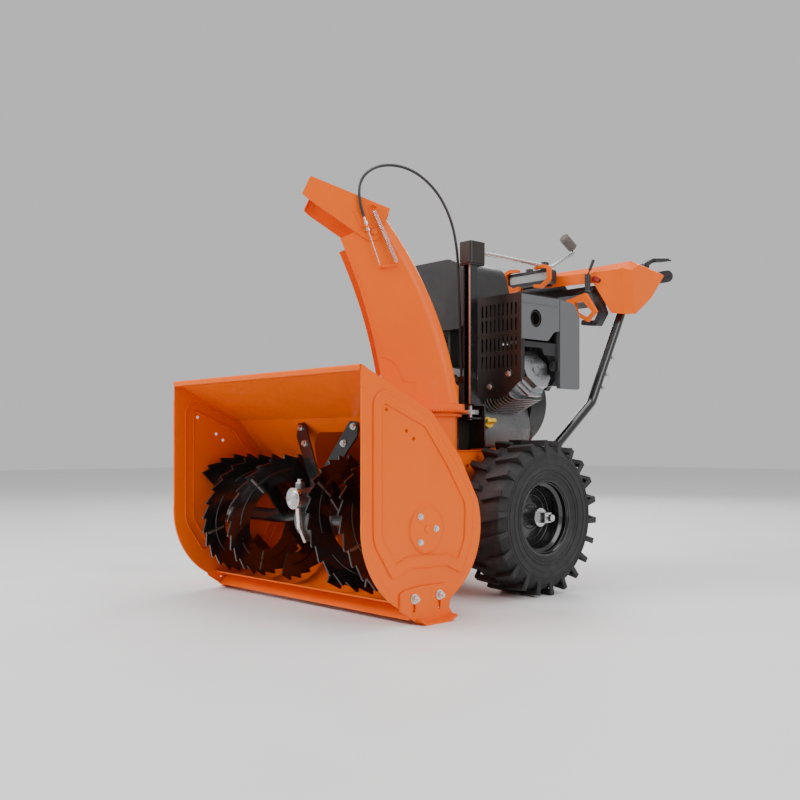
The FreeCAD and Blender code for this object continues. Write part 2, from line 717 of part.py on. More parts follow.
GEAR_TEETH = 100
PINION_TEETH = 18
TOOTH_MODULE = 2.5
GEAR_PITCH_R = GEAR_TEETH * TOOTH_MODULE / 2
PINION_PITCH_R = PINION_TEETH * TOOTH_MODULE / 2
GEAR_TIP_R = GEAR_PITCH_R + 1.6
PINION_BEARING = 70.0
PINION_X = CHUTE_X + (GEAR_PITCH_R + PINION_PITCH_R) * math.cos(math.radians(PINION_BEARING))
PINION_Y = CHUTE_Y + (GEAR_PITCH_R + PINION_PITCH_R) * math.sin(math.radians(PINION_BEARING))


def chute_pinion():
    """Pinion with the upright shaft that turns it."""
    core = rod((PINION_X, PINION_Y, 507), (PINION_X, PINION_Y, 519), PINION_PITCH_R - 3.6)
    teeth = []
    for step in range(PINION_TEETH):
        tooth = box(PINION_PITCH_R - 5, PINION_PITCH_R + 1.2, -1.2, 1.2, 507, 519)
        tooth.translate(V(PINION_X, PINION_Y, 0))
        turn = 360.0 / PINION_TEETH * (step + 0.5) + PINION_BEARING + 180
        teeth.append(turned(tooth, (PINION_X, PINION_Y, 0), (0, 0, 1), turn))
    shaft = rod((PINION_X, PINION_Y, 492), (PINION_X, PINION_Y, CRANK_START.z - 16), 6)
    bevel = Part.makeCone(13, 9, 6, V(PINION_X, PINION_Y, CRANK_START.z - 20), V(0, 0, 1))
    return core.fuse(teeth + [shaft, bevel])


PIVOT_S = 141.0
PIVOT_Z = 992.0
HOOD_HALF = CHUTE_HALF + 4.0


def deflector():
    wall = 3.0
    points = [(99, 1055), (107, 1035), (121, 985), (132, 971), (156, 968), (172, 977), (321, 1079),
              (334, 1092), (312, 1139)]
    radii = [1, 4, 10, 12, 12, 6, 6, 4, 3]
    near = chute_slab(points, radii, HOOD_HALF - wall, wall)
    far = chute_slab(points, radii, -HOOD_HALF, wall)
    roof_points = [(99, 1055), (100, 1051.7), (314, 1135.5), (312, 1139)]
    roof = chute_slab(roof_points, 0.8, -HOOD_HALF, 2 * HOOD_HALF)
    brow_points = [(312, 1139), (310, 1136), (330.5, 1091), (334, 1092)]
    brow_near = chute_slab(brow_points, 0.8, HOOD_HALF - 14, 14)
    brow_far = chute_slab(brow_points, 0.8, -HOOD_HALF, 14)
    body = fused(near, far, roof, brow_near, brow_far)
    stop_tab = chute_slab([(176, 1042), (199, 1048), (170, 990), (160, 992)], 2, HOOD_HALF, 2.0)
    stop_ear = chute_slab([(152, 999), (172, 1003), (170, 1007), (150, 1003)], 1, HOOD_HALF, 16)
    spring_ear = chute_slab([(136, 1056), (150, 1062), (148, 1066), (134, 1060)], 1, HOOD_HALF, 14)
    body = fused(body, stop_tab, stop_ear, spring_ear)
    holes = chute_rod((PIVOT_S, -120, PIVOT_Z), (PIVOT_S, 120, PIVOT_Z), 4.5)
    cable_hole = chute_rod((170, HOOD_HALF + 9, 1030), (158, HOOD_HALF + 9, 993), 3.0)
    return cut(body, holes, cable_hole)


def deflector_pins():
    pins = []
    for side in (-1, 1):
        start = (PIVOT_S, side * (CHUTE_HALF - 7), PIVOT_Z)
        middle = (PIVOT_S, side * (HOOD_HALF + 0.4), PIVOT_Z)
        end = (PIVOT_S, side * (HOOD_HALF + 5), PIVOT_Z)
        pins.append(fused(chute_rod(start, end, 4.4), chute_rod(middle, end, 9)))
    return pins


def chute_hook():
    """Cross rod on the chute's side that anchors the spring and cable."""
    rod_t = CHUTE_HALF + 8
    cross = chute_rod((79, rod_t, 903), (124, rod_t, 897), 3.0)
    leg = chute_rod((122, CHUTE_HALF, 897), (122, rod_t, 897), 4.0)
    other = chute_rod((84, CHUTE_HALF, 902), (84, rod_t, 902), 4.0)
    return fused(cross, leg, other)


SPRING_TOP = (143.0, 1059.0)
SPRING_LOW = (82.0, 893.0)


def coil(start, end, radius, wire, turns):
    """Helical spring between two points, built straight and then aimed."""
    axis = end - start
    path = Part.makeLongHelix(axis.Length / turns, axis.Length, radius, 0, False)
    section = Part.Wire(Part.makeCircle(wire, V(radius, 0, 0), V(0, 1, 0)))
    spring = path.makePipeShell([section], True, True)
    rotation = FreeCAD.Rotation(V(0, 0, 1), axis)
    spring.Placement = FreeCAD.Placement(start, rotation)
    return spring


def deflector_spring():
    t = HOOD_HALF + 10
    start = chute_place(SPRING_TOP[0], t, SPRING_TOP[1] - 12)
    end = chute_place(SPRING_LOW[0], t, SPRING_LOW[1] + 16)
    return coil(start, end, 5.2, 1.1, 34)


def cable_ferrule():
    """Threaded ferrule of the deflector cable, held in the deflector's ear."""
    t = HOOD_HALF + 9
    sleeve = chute_rod((170, t, 1030), (158, t, 993), 3.0)
    collar = chute_rod((165, t, 1016), (163, t, 1010), 6.0)
    nut = chute_rod((160.6, t, 1001), (157.6, t, 993), 5.5)
    return fused(sleeve, collar, nut)


def cable_core():
    """Bare inner wire between the ferrule and the chute's cross rod."""
    t = HOOD_HALF + 9
    return chute_rod((157, t, 990), (127, t, 901.5), 1.6)


# ------------------------------------------------------- crank and pedestal
CRANK_START = V(PINION_X, PINION_Y, 974)
CRANK_ELBOW = V(0, 1180, 1015)
CRANK_END = V(0, 1315, 1086)
CRANK_TIP = V(0, 1252, 1122)
CRANK_ALONG = (CRANK_ELBOW - CRANK_START).normalize()
CRANK_R = 5.5
KNOB_ALONG = (CRANK_TIP - CRANK_END).normalize()
BOX_LOW = 936.0
BOX_HIGH = 998.0


def crank_rod():
    points = [CRANK_START + CRANK_ALONG * 14, CRANK_ELBOW, CRANK_END, CRANK_TIP]
    bar = bent_bar(points, 12, CRANK_R)
    bevel = Part.makeCone(9, 13, 6, CRANK_START + CRANK_ALONG * 17, CRANK_ALONG)
    return bar.fuse(bevel)


def crank_knob():
    """Hand knob that spins on the turned-up end of the crank."""
    foot = CRANK_END + KNOB_ALONG * 23
    grip = Part.makeCylinder(17, 52, foot, KNOB_ALONG)
    collar = Part.makeCylinder(12, 56, foot - KNOB_ALONG * 2, KNOB_ALONG)
    bore = Part.makeCylinder(CRANK_R + FIT, 53.5, foot - KNOB_ALONG * 3, KNOB_ALONG)
    return fused(grip, collar).cut(bore)


def crank_bore(reach):
    return Part.makeCylinder(CRANK_R + FIT, reach, CRANK_START, CRANK_ALONG)


def chute_gearbox():
    """Casing that holds the two small bevel gears."""
    x, y = CRANK_START.x, CRANK_START.y
    shell = slab([(x - 24, y - 24), (x + 24, y - 24), (x + 24, y + 40), (x - 24, y + 40)], 9,
                 on_z(BOX_LOW), (0, 0, BOX_HIGH - BOX_LOW))
    room = box(x - 20.5, x + 18, y - 18, y + 32, BOX_LOW + 6, BOX_HIGH - 6)
    down = rod((x, y, BOX_LOW - 10), (x, y, BOX_LOW + 20), 6 + FIT)
    return cut(shell, room, down, crank_bore(90))


def pedestal():
    """Upright channel with its foot, which carries the crank's gearbox."""
    x, y = CRANK_START.x, CRANK_START.y
    foot = box(x - 30, x + 28, y + 28, y + 33, 410.3, 536)
    floor = box(x - 30, x + 28, y + 28, y + 56, 410.3, 415)
    low_shelf = box(x - 22, x + 22, y - 14, y + 30, 493, 498)
    shelf = box(x - 22, x + 28, y - 14, y + 33, 531, 536)
    post = box(x - 15, x + 15, y - 13, y + 13, 532, BOX_LOW - 3)
    groove = box(x - 12, x + 12, y - 20, y + 10, 530, BOX_LOW)
    cap = box(x - 22, x + 22, y - 22, y + 34, BOX_LOW - 4.2, BOX_LOW - 0.1)
    clip = box(x - 37, x - 14, y - 14, y + 3, 600, 616)
    holes = [rod((x, y, 480), (x, y, 540), 6 + FIT), rod((x, y, BOX_LOW - 10), (x, y, BOX_LOW + 5), 8)]
    cable_hole = rod((CABLE_END.x, CABLE_END.y, 590), (CABLE_END.x, CABLE_END.y, 630), 4.05)
    post = post.cut(groove)
    return fused(foot, floor, low_shelf, shelf, post, cap, clip).cut(holes + [cable_hole])


CABLE_END = V(121, 622, 596)
CABLE_R = 4.0


def deflector_cable():
    """Control cable that loops over from the chute down to the pedestal."""
    start = chute_place(170, HOOD_HALF + 9, 1030.5)
    points = [start, (69, 275, 1087), (66, 300, 1152), (74, 372, 1190), (88, 462, 1188), (102, 540, 1142),
              (111, 590, 1068), (114, 612, 984), (113, 619, 894), (113, 623, 804), (117, 624, 714),
              (121, 622, 644), CABLE_END]
    return bent_bar(points, CABLE_BEND, CABLE_R)


# ------------------------------------------------------- tractor frame
AXLE_Z = TYRE_R
AXLE_R = 9.5


def tractor_frame():
    half = FRAME_HALF
    front = DRUM_BACK + 0.5
    sides = []
    side_points = [(front, 150), (905, 150), (935, 230), (935, DECK_Z), (front, DECK_Z)]
    for x in (-half, half - SHEET):
        sides.append(slab(side_points, [4, 20, 30, 4, 4], on_x(x), (SHEET, 0, 0)))
    front_plate = box(-half, half, front, front + SHEET, 150, DECK_Z)
    rear_plate = box(-half, half, 932, 935, 235, DECK_Z)
    flange_left = box(half - 22, half + 4, front, 935, DECK_Z - SHEET, DECK_Z)
    flange_right = box(-half - 4, -half + 22, front, 935, DECK_Z - SHEET, DECK_Z)
    frame = fused(sides[0], sides[1], front_plate, rear_plate, flange_left, flange_right)
    axle_hole = rod((-200, WHEEL_Y, AXLE_Z), (200, WHEEL_Y, AXLE_Z), 17)
    side_hole = rod((-200, 599, 361), (200, 599, 361), 5)
    shaft_hole = rod((0, 500, WORM_Z), (0, 600, WORM_Z), 50)
    floor = box(-half, half, front + 6, 902, 146.5, 150.5)
    return cut(frame.fuse([floor, engine_deck()]), axle_hole, side_hole, shaft_hole)


def engine_deck():
    """Plate on top of the chassis that the engine stands on."""
    deck = box(-FRAME_HALF - 4, FRAME_HALF + 4, 662, 1010, DECK_Z - 0.5, DECK_Z + 5)
    holes = []
    for x in (-85, 85):
        for y in (760, 880):
            holes.append(rod((x, y, 400), (x, y, 420), 4.5))
    return cut(deck, *holes)


def axle_bearing():
    face = FRAME_HALF
    ring = pipe((face - 6, WHEEL_Y, AXLE_Z), (face + 8, WHEEL_Y, AXLE_Z), 17, AXLE_R + FIT)
    flange = pipe((face + 0.2, WHEEL_Y, AXLE_Z), (face + 4, WHEEL_Y, AXLE_Z), 30, 17)
    return fused(ring, flange)


def differential_case():
    drum = rod((-42, WHEEL_Y, AXLE_Z), (42, WHEEL_Y, AXLE_Z), 36)
    room = rod((-30, WHEEL_Y, AXLE_Z), (30, WHEEL_Y, AXLE_Z), 28)
    bore = rod((-60, WHEEL_Y, AXLE_Z), (60, WHEEL_Y, AXLE_Z), AXLE_R + FIT)
    sprocket = rod((-6, WHEEL_Y, AXLE_Z), (6, WHEEL_Y, AXLE_Z), 50)
    strut = box(-20, 20, WHEEL_Y - 8, WHEEL_Y + 8, AXLE_Z + 30, DECK_Z - 0.6)
    return cut(fused(drum, sprocket, strut), room, bore)


def half_axle():
    shaft = rod((8, WHEEL_Y, AXLE_Z), (360, WHEEL_Y, AXLE_Z), AXLE_R)
    gear = rod((8, WHEEL_Y, AXLE_Z), (22, WHEEL_Y, AXLE_Z), 22)
    return fused(shaft, gear)


# ------------------------------------------------------- wheels


def revolved(points, x_axis_y, x_axis_z):
    """Solid of revolution about an axis along X from (x, r) points."""
    corners = [V(x, x_axis_y, x_axis_z + r) for x, r in points]
    face = Part.Face(Part.makePolygon(corners + corners[:1]))
    return face.revolve(V(0, x_axis_y, x_axis_z), V(1, 0, 0), 360)


def wheel_rim():
    inner = WHEEL_INNER_X + 14
    outer = WHEEL_INNER_X + TYRE_WIDTH - 14
    points = [(inner, 108), (inner, 104), (inner + 10, 103), (inner + 16, 92), (inner + 66, 89),
              (inner + 74, 40), (inner + 74, 26), (inner + 78, 26), (inner + 78, 40),
              (inner + 72, 86), (outer - 26, 88), (outer - 20, 97), (outer - 6, 100), (outer, 104),
              (outer, 108), (outer - 10, 104), (outer - 22, 101), (outer - 28, 92),
              (inner + 70, 93), (inner + 20, 96), (inner + 12, 107)]
    return revolved(points, WHEEL_Y, AXLE_Z)


def wheel_hub():
    hub = rod((WHEEL_INNER_X + 40, WHEEL_Y, AXLE_Z), (WHEEL_INNER_X + 130, WHEEL_Y, AXLE_Z), 26)
    return hub.cut(rod((150, WHEEL_Y, AXLE_Z), (400, WHEEL_Y, AXLE_Z), AXLE_R))


def hub_bolt():
    face = WHEEL_INNER_X + 130
    block = box(face + 0.2, face + 26, WHEEL_Y - 14, WHEEL_Y + 14, AXLE_Z - 14, AXLE_Z + 14)
    return cut(block, rod((150, WHEEL_Y, AXLE_Z), (face + 60, WHEEL_Y, AXLE_Z), AXLE_R))


LUGS = 22
BEAD_SEAT_R = 108.05


def tyre():
    x0 = WHEEL_INNER_X
    x1 = WHEEL_INNER_X + TYRE_WIDTH
    tread_r = TYRE_R - 13
    points = [(x0 + 15, BEAD_SEAT_R), (x0 + 6, 122), (x0, 150), (x0 + 3, 180), (x0 + 18, tread_r - 6),
              (x0 + 36, tread_r), (x1 - 36, tread_r), (x1 - 18, tread_r - 6), (x1 - 3, 180), (x1, 150),
              (x1 - 6, 122), (x1 - 15, BEAD_SEAT_R), (x1 - 24, BEAD_SEAT_R), (x1 - 20, 125), (x1 - 14, 150),
              (x1 - 18, 176), (x1 - 40, tread_r - 14), (x0 + 40, tread_r - 14), (x0 + 18, 176),
              (x0 + 14, 150), (x0 + 20, 125), (x0 + 24, BEAD_SEAT_R)]
    carcass = revolved(points, WHEEL_Y, AXLE_Z)
    return carcass.fuse(tread_lugs())


def tread_lugs():
    """Alternating angled bars across the tread."""
    lugs = []
    x_mid = WHEEL_INNER_X + TYRE_WIDTH / 2
    for step in range(LUGS):
        for side in (-1, 1):
            turn = 360.0 / LUGS * (step + (0.5 if side > 0 else 0.0))
            near = x_mid + side * 6
            far = x_mid + side * (TYRE_WIDTH / 2 - 4)
            low = TYRE_R - 15
            points = [(near, -8), (near, 7), (far, 26), (far, 9)]
            lug = slab(points, 1.5, on_z(low), (0, 0, 15))
            inner_x = far - side * 2
            outer_x = far + side * 2
            shoulder_points = [(inner_x, 9), (inner_x, 26), (outer_x, 24), (outer_x, 11)]
            shoulder = slab(shoulder_points, 0.8, on_z(TYRE_R - 48), (0, 0, 44))
            lug = lug.fuse(shoulder)
            lug = lug.common(rod((WHEEL_INNER_X - 20, 0, 0), (WHEEL_INNER_X + 200, 0, 0), TYRE_R))
            lug.translate(V(0, WHEEL_Y, AXLE_Z))
            lugs.append(turned(lug, (0, WHEEL_Y, AXLE_Z), (1, 0, 0), turn))
    return lugs


# ------------------------------------------------------- engine
HEAD_LEAN = 22.7
ENGINE_Y = 797.0


def leaned(shape):
    """Shape modelled with its axis along X from the crank, leaned up."""
    return turned(shape, (0, ENGINE_Y, CRANK_Z), (0, 1, 0), -HEAD_LEAN)


def crankcase():
    base = DECK_Z + 5.2
    points = [(-120, base), (118, base), (128, 470), (112, 560), (60, 640), (-40, 660),
              (-112, 610), (-128, 500)]
    case = slab(points, [14, 14, 24, 24, 40, 50, 40, 30], on_y(705), (0, 215, 0))
    skirt = slab([(-112, 735), (112, 735), (112, 905), (-112, 905)], 14, on_z(base), (0, 0, 12))
    shaft_boss = rod((0, 690, CRANK_Z), (0, 706, CRANK_Z), 46)
    cylinder_clear = leaned(rod((60, ENGINE_Y, CRANK_Z), (220, ENGINE_Y, CRANK_Z), 52))
    bore = rod((0, 640, CRANK_Z), (0, 960, CRANK_Z), CRANKSHAFT_R + FIT)
    room = rod((0, 722, CRANK_Z), (0, 900, CRANK_Z), 68)
    filler = rod((90, 715, 462), (150, 702, 484), 14)
    case = fused(case, skirt, shaft_boss, filler)
    neck_hole = rod((110, 711, 469), (151, 702, 484), 9)
    return cut(case, cylinder_clear, bore, room, neck_hole)


def crankshaft():
    front = rod((0, PULLEY_Y - 4, CRANK_Z), (0, 724, CRANK_Z), CRANKSHAFT_R)
    rear = rod((0, 898, CRANK_Z), (0, 950, CRANK_Z), CRANKSHAFT_R)
    web_front = rod((0, 740, CRANK_Z), (0, 756, CRANK_Z), 48)
    web_rear = rod((0, 838, CRANK_Z), (0, 854, CRANK_Z), 48)
    pin = rod((0, 756, CRANK_Z + 30), (0, 838, CRANK_Z + 30), 15)
    neck_front = rod((0, 724, CRANK_Z), (0, 740, CRANK_Z), CRANKSHAFT_R)
    neck_rear = rod((0, 854, CRANK_Z), (0, 898, CRANK_Z), CRANKSHAFT_R)
    return fused(front, neck_front, web_front, pin, web_rear, neck_rear, rear)


def cylinder():
    barrel = rod((70, ENGINE_Y, CRANK_Z), (232, ENGINE_Y, CRANK_Z), 50)
    fins = []
    for index in range(9):
        x = 118 + index * 11.5
        square = [(-78, -66), (78, -66), (78, 62), (-78, 62)]
        points = [(ENGINE_Y + y, CRANK_Z + z) for y, z in square]
        fins.append(slab(points, 26, on_x(x), (3.6, 0, 0)))
    bore = rod((60, ENGINE_Y, CRANK_Z), (210, ENGINE_Y, CRANK_Z), 44)
    body = fused(barrel, *fins).cut(bore)
    return leaned(body)


def octagon(x, radius, height):
    points = []
    for step in range(8):
        angle = math.radians(45 * step + 22.5)
        points.append((ENGINE_Y + radius * math.cos(angle), CRANK_Z + radius * math.sin(angle)))
    return slab(points, 3, on_x(x), (height, 0, 0))


def valve_cover():
    flange = octagon(233.5, 72, 8)
    step = octagon(241, 64, 12)
    cap = octagon(252, 57, 24)
    dish = rod((270, ENGINE_Y, CRANK_Z), (280, ENGINE_Y, CRANK_Z), 21)
    nub = rod((262, ENGINE_Y, CRANK_Z), (275, ENGINE_Y, CRANK_Z), 11)
    cover = fused(flange, step, cap).cut(dish)
    return leaned(fused(cover, nub))


GUARD_X0 = 112.0
GUARD_X1 = 278.0
GUARD_Y0 = 700.0
GUARD_Y1 = 872.0
GUARD_Z1 = 850.0


def muffler():
    points = [(GUARD_X0 + 20, 718), (GUARD_X1 - 20, 718), (GUARD_X1 - 20, 836), (GUARD_X0 + 20, 836)]
    can = slab(points, 26, on_y(GUARD_Y0 + 18), (0, 138, 0))
    outlet = rod((GUARD_X1 - 30, 765, 781), (GUARD_X1 - 2, 765, 781), 22)
    hole = rod((GUARD_X1 - 24, 765, 781), (GUARD_X1, 765, 781), 19)
    inlet = rod((185, 845, 700), (185, 845, 735), 16)
    return cut(fused(can, outlet, inlet), hole)


def guard_slots():
    tools = []
    for row, (low, high) in enumerate(((788, 824), (744, 780), (688, 728), (640, 676))):
        for column in range(9):
            x = GUARD_X0 + 19 + column * 16
            points = [(x - 3.4, low), (x + 3.4, low), (x + 3.4, high), (x - 3.4, high)]
            tools.append(slab(points, 3.3, on_y(GUARD_Y0 - 5), (0, 20, 0)))
    return tools


def muffler_guard():
    """Folded black guard in front of and above the muffler."""
    front_points = [(GUARD_X0, 556), (GUARD_X1 - 62, 556), (GUARD_X1, 604), (GUARD_X1, GUARD_Z1),
                    (GUARD_X0, GUARD_Z1)]
    front = slab(front_points, [3, 8, 3, 5, 5], on_y(GUARD_Y0), (0, 2, 0))
    left = box(GUARD_X0, GUARD_X0 + 2, GUARD_Y0, 800, 660, GUARD_Z1)
    roof = box(GUARD_X0, GUARD_X1 - 2.2, GUARD_Y0, GUARD_Y1 - 2, GUARD_Z1 - 2, GUARD_Z1)
    lip = box(GUARD_X1 - 8, GUARD_X1 - 2.2, GUARD_Y0, GUARD_Y0 + 18, 606, GUARD_Z1)
    shield = box(GUARD_X0 + 1, GUARD_X1 - 8, GUARD_Y0 + 12, GUARD_Y0 + 13.5, 600, 705)
    shelf = box(GUARD_X0 + 1, GUARD_X1 - 8, GUARD_Y0 + 1, GUARD_Y0 + 13.5, 703.5, 705)
    guard = fused(front, left, roof, lip, shield, shelf)
    return cut(guard, *guard_slots())


def guard_bolts():
    return [bolt((x, GUARD_Y0, z), (0, -1, 0), 12, 5) for x, z in ((160, 588), (232, 622))]


def side_cover_front():
    """Grey panel with the exhaust hole."""
    front = GUARD_Y0 + 2.2
    points = [(front, 720), (820, 720), (848, 748), (872, 752), (872, 846), (front, 846)]
    panel = slab(points, [3, 16, 20, 3, 4, 4], on_x(GUARD_X1 - 2), (2.2, 0, 0))
    sill = box(GUARD_X1 - 2, GUARD_X1 + 1.5, front, 872, 822, 825)
    hole = rod((GUARD_X1 - 10, 765, 781), (GUARD_X1 + 10, 765, 781), 25)
    return cut(fused(panel, sill), hole)


def side_cover_rear():
    points = [(875, 585), (968, 585), (968, 800), (945, 838), (875, 846)]
    panel = slab(points, [8, 8, 10, 16, 4], on_x(GUARD_X1 - 14), (14, 0, 0))
    return panel


def control_box():
    """Black moulding round the choke, between the covers and the head."""
    front = GUARD_Y0 + 22
    points = [(front, 716), (874, 716), (874, 592), (850, 592), (806, 700), (front, 700)]
    box_body = slab(points, 4, on_x(GUARD_X1 - 34), (24, 0, 0))
    choke_hole = rod((240, CHOKE_Y, CHOKE_Z), (300, CHOKE_Y, CHOKE_Z), 5 + FIT)
    box_body = cut(box_body, choke_hole, leaned(octagon(215, 75, 90)))
    air_box = slab([(128, 880), (262, 880), (262, 975), (128, 975)], 12, on_z(600), (0, 0, 240))
    return [box_body, air_box]


def fan_housing():
    """Ribbed blower cover round the recoil starter, at the back."""
    drum = rod((0, 921, CRANK_Z + 20), (0, 992, CRANK_Z + 20), 132)
    drum = drum.cut(rod((0, 915, CRANK_Z + 20), (0, 984, CRANK_Z + 20), 124))
    skirt = slab([(-130, 430), (95, 430), (95, 640), (-130, 640)], 20, on_y(921), (0, 50, 0))
    skirt = skirt.cut(slab([(-124, 420), (89, 420), (89, 634), (-124, 634)], 16, on_y(910), (0, 55, 0)))
    starter = pipe((0, 992, CRANK_Z + 20), (0, 1022, CRANK_Z + 20), 84, 76)
    face = rod((0, 1018, CRANK_Z + 20), (0, 1022, CRANK_Z + 20), 84)
    ribs = []
    for step in range(18):
        rib = box(-2, 2, 992, 1024, 30, 80)
        rib.translate(V(0, 0, CRANK_Z + 20))
        ribs.append(turned(rib, (0, 0, CRANK_Z + 20), (0, 1, 0), 20 * step))
    shell = drum.fuse([skirt, starter, face] + ribs)
    rope_hole = rod((60, 1007, CRANK_Z + 20), (100, 1007, CRANK_Z + 74), 5)
    hub_hole = rod((0, 900, CRANK_Z), (0, 960, CRANK_Z), 30)
    return cut(shell, rope_hole, hub_hole)


def recoil_grip():
    anchor = V(92, 1007, CRANK_Z + 63)
    along = V(0.6, 0, 0.8)
    rope = Part.makeCylinder(2.5, 44, anchor - along * 22, along)
    grip_start = anchor + along * 16
    side = V(0, 1, 0)
    other = along.cross(side)
    corners = []
    for a, b in ((-9, -28), (9, -28), (9, 28), (-9, 28)):
        corners.append(grip_start + side * a + other * b)
    grip = Part.Face(Part.makePolygon(corners + corners[:1])).extrude(along * 18)
    return fused(rope, grip)


def fuel_tank():
    points = [(-262, 770), (40, 770), (60, 860), (30, 965), (-20, 985), (-215, 985), (-262, 950)]
    tank = slab(points, [24, 20, 60, 50, 40, 40, 40], on_y(712), (0, 200, 0))
    stand = box(-200, -40, 740, 900, 655, 771)
    stand = stand.cut([box(-190, -50, 730, 910, 668, 760), crankcase()])
    neck = rod((-150, 830, 980), (-150, 830, 996), 24)
    neck_hole = rod((-150, 830, 970), (-150, 830, 997), 20)
    room = slab([(-250, 782), (30, 782), (46, 860), (20, 952), (-30, 972), (-206, 972), (-250, 940)],
                [16, 14, 50, 40, 30, 30, 30], on_y(724), (0, 176, 0))
    return cut(fused(tank, stand, neck), room, neck_hole)


def fuel_cap():
    skirt = pipe((-150, 830, 987), (-150, 830, 1006), 30, 24.4)
    top = rod((-150, 830, 999), (-150, 830, 1008), 30)
    grips = []
    for step in range(12):
        nub = rod((-120, 830, 988), (-120, 830, 1007), 3)
        grips.append(turned(nub, (-150, 830, 0), (0, 0, 1), 30 * step))
    return fused(skirt, top, *grips)


def oil_cap():
    centre = V(150.6, 702, 484)
    along = V(60, -13, 22).normalize()
    flange = Part.makeCylinder(16, 5, centre + along * 0.3, along)
    wing_side = along.cross(V(0, 0, 1)).normalize()
    wing_up = along.cross(wing_side)
    corners = []
    for a, b in ((-15, -5), (15, -5), (15, 5), (-15, 5)):
        corners.append(centre + along * 5 + wing_side * a + wing_up * b)
    wing = Part.Face(Part.makePolygon(corners + corners[:1])).extrude(along * 18)
    stick = Part.makeCylinder(4, 44, centre - along * 43, along)
    return fused(flange, wing, stick)


CHOKE_Y = 853.0
CHOKE_Z = 648.0


def choke_knob():
    centre = (GUARD_X1 - 9.4, CHOKE_Y, CHOKE_Z)
    disc = rod(centre, (GUARD_X1 + 4, CHOKE_Y, CHOKE_Z), 16)
    stem = rod((GUARD_X1 - 20, CHOKE_Y, CHOKE_Z), centre, 5)
    bar = box(GUARD_X1 + 4, GUARD_X1 + 12, CHOKE_Y - 4, CHOKE_Y + 4, CHOKE_Z - 15, CHOKE_Z + 15)
    return fused(disc, stem, bar)


def belt_cover():
    """Black cover over the belts, from the housing back to the engine."""
    points = [(-118, 190), (118, 190), (118, 500), (92, 606), (60, 628), (-60, 628),
              (-92, 606), (-118, 500)]
    outer = slab(points, [10, 10, 20, 20, 16, 16, 20, 20], on_y(DRUM_BACK + 5), (0, 108, 0))
    inner_points = [(-115, 180), (115, 180), (115, 498), (89, 604), (58, 625), (-58, 625),
                    (-89, 604), (-115, 498)]
    inner = slab(inner_points, [10, 10, 18, 18, 14, 14, 18, 18], on_y(DRUM_BACK + 8), (0, 120, 0))
    keep = box(-130, 130, 540, 680, DECK_Z + 1, 640)
    cover = outer.cut(inner).common(keep)
    gear_sweep = rod((CHUTE_X, CHUTE_Y, 400), (CHUTE_X, CHUTE_Y, 540), GEAR_TIP_R + 2)
    chute_sweep = rod((CHUTE_X, CHUTE_Y, 539), (CHUTE_X, CHUTE_Y, 700), 124)
    wall_sweep = box(-130, 130, 540, 606, 506, 700)
    return cut(cover, gear_sweep, chute_sweep, wall_sweep)


# ------------------------------------------------------- handles and dash
def handle_points(side):
    x = side * HANDLE_X
    return [(x, 893, 418), (x, 1064, 550), (x, 1240, 874), (x, 1312, 952), (x, REAR_END - 3, 991)]


def handle_tube(side):
    return bent_bar(handle_points(side), 46, 14)


def handle_bracket(side):
    inner = FRAME_HALF + 4.5
    outer = HANDLE_X + 18
    flat = box(inner, outer, 884, 944, 385, 390)
    ear = slab([(884, 386), (944, 386), (944, 412), (884, 404)], 2, on_x(HANDLE_X + 15), (4, 0, 0))
    tab = box(inner, inner + 4, 868, 934, 360, 389)
    bracket = fused(flat, ear, tab)
    return bracket if side > 0 else mirrored(bracket)


def handle_bolts():
    parts = []
    for y, z in ((1122, 638), (1152, 692), (1100, 598)):
        head = hexagon((HANDLE_X + 14.2, y, z), (1, 0, 0), 11, 5)
        parts += [head, mirrored(head)]
    for y in (885, 917):
        head = hexagon((FRAME_HALF + 8.6, y, 374), (1, 0, 0), 11, 5)
        parts += [head, mirrored(head)]
    return parts


WING_SECTIONS = [
    (48, [(1086, 962), (1110, 977), (1190, 988), (1190, 968), (1092, 930)]),
    (205, [(1142, 967), (1174, 990), (1262, 1002), (1256, 950), (1136, 932)]),
    (252, [(1162, 970), (1206, 998), (1332, 1000), (1262, 880), (1164, 836)]),
    (290, [(1172, 973), (1216, 1001), (1372, 984), (1296, 880), (1190, 830)]),
    (310, [(1190, 966), (1234, 988), (1374, 970), (1300, 890), (1214, 832)]),
]
PANEL_HALF = 70.0
PANEL = [(1092, 934), (1092, 962), (1150, 960), (1226, 884), (1226, 868), (1148, 930)]
SHELF_HALF = 198.0
SHELF = [(1152, 931), (1226, 884), (1226, 868), (1152, 910)]


def loft(sections, place_on=on_x):
    wires = []
    for offset, points in sections:
        place = place_on(offset)
        corners = [place(*point) for point in points]
        wires.append(Part.makePolygon(corners + corners[:1]))
    return Part.makeLoft(wires, True, True)


def shrunk(points, amount):
    """Outline moved towards its own middle."""
    mid_y = sum(point[0] for point in points) / len(points)
    mid_z = sum(point[1] for point in points) / len(points)
    moved = []
    for y, z in points:
        reach = math.hypot(y - mid_y, z - mid_z)
        moved.append((y - (y - mid_y) * amount / reach, z - (z - mid_z) * amount / reach))
    return moved


def dash_wing(side):
    """One drooping wing of the dash, open behind."""
    outer = loft(WING_SECTIONS)
    hollow_sections = []
    for x, points in WING_SECTIONS[1:4]:
        x_inside = min(x, WING_SECTIONS[-1][0] - 4)
        hollow_sections.append((x_inside, shrunk(points, 6)))
    tube = bent_bar(handle_points(1), 46, 14.6)
    notch = box(HANDLE_X - 22.5, HANDLE_X + 22.5, 1317, 1400, 940, 1030)
    wing = outer.cut(loft(hollow_sections)).cut([tube, notch])
    return wing.cut(button_bore()) if side > 0 else mirrored(wing)


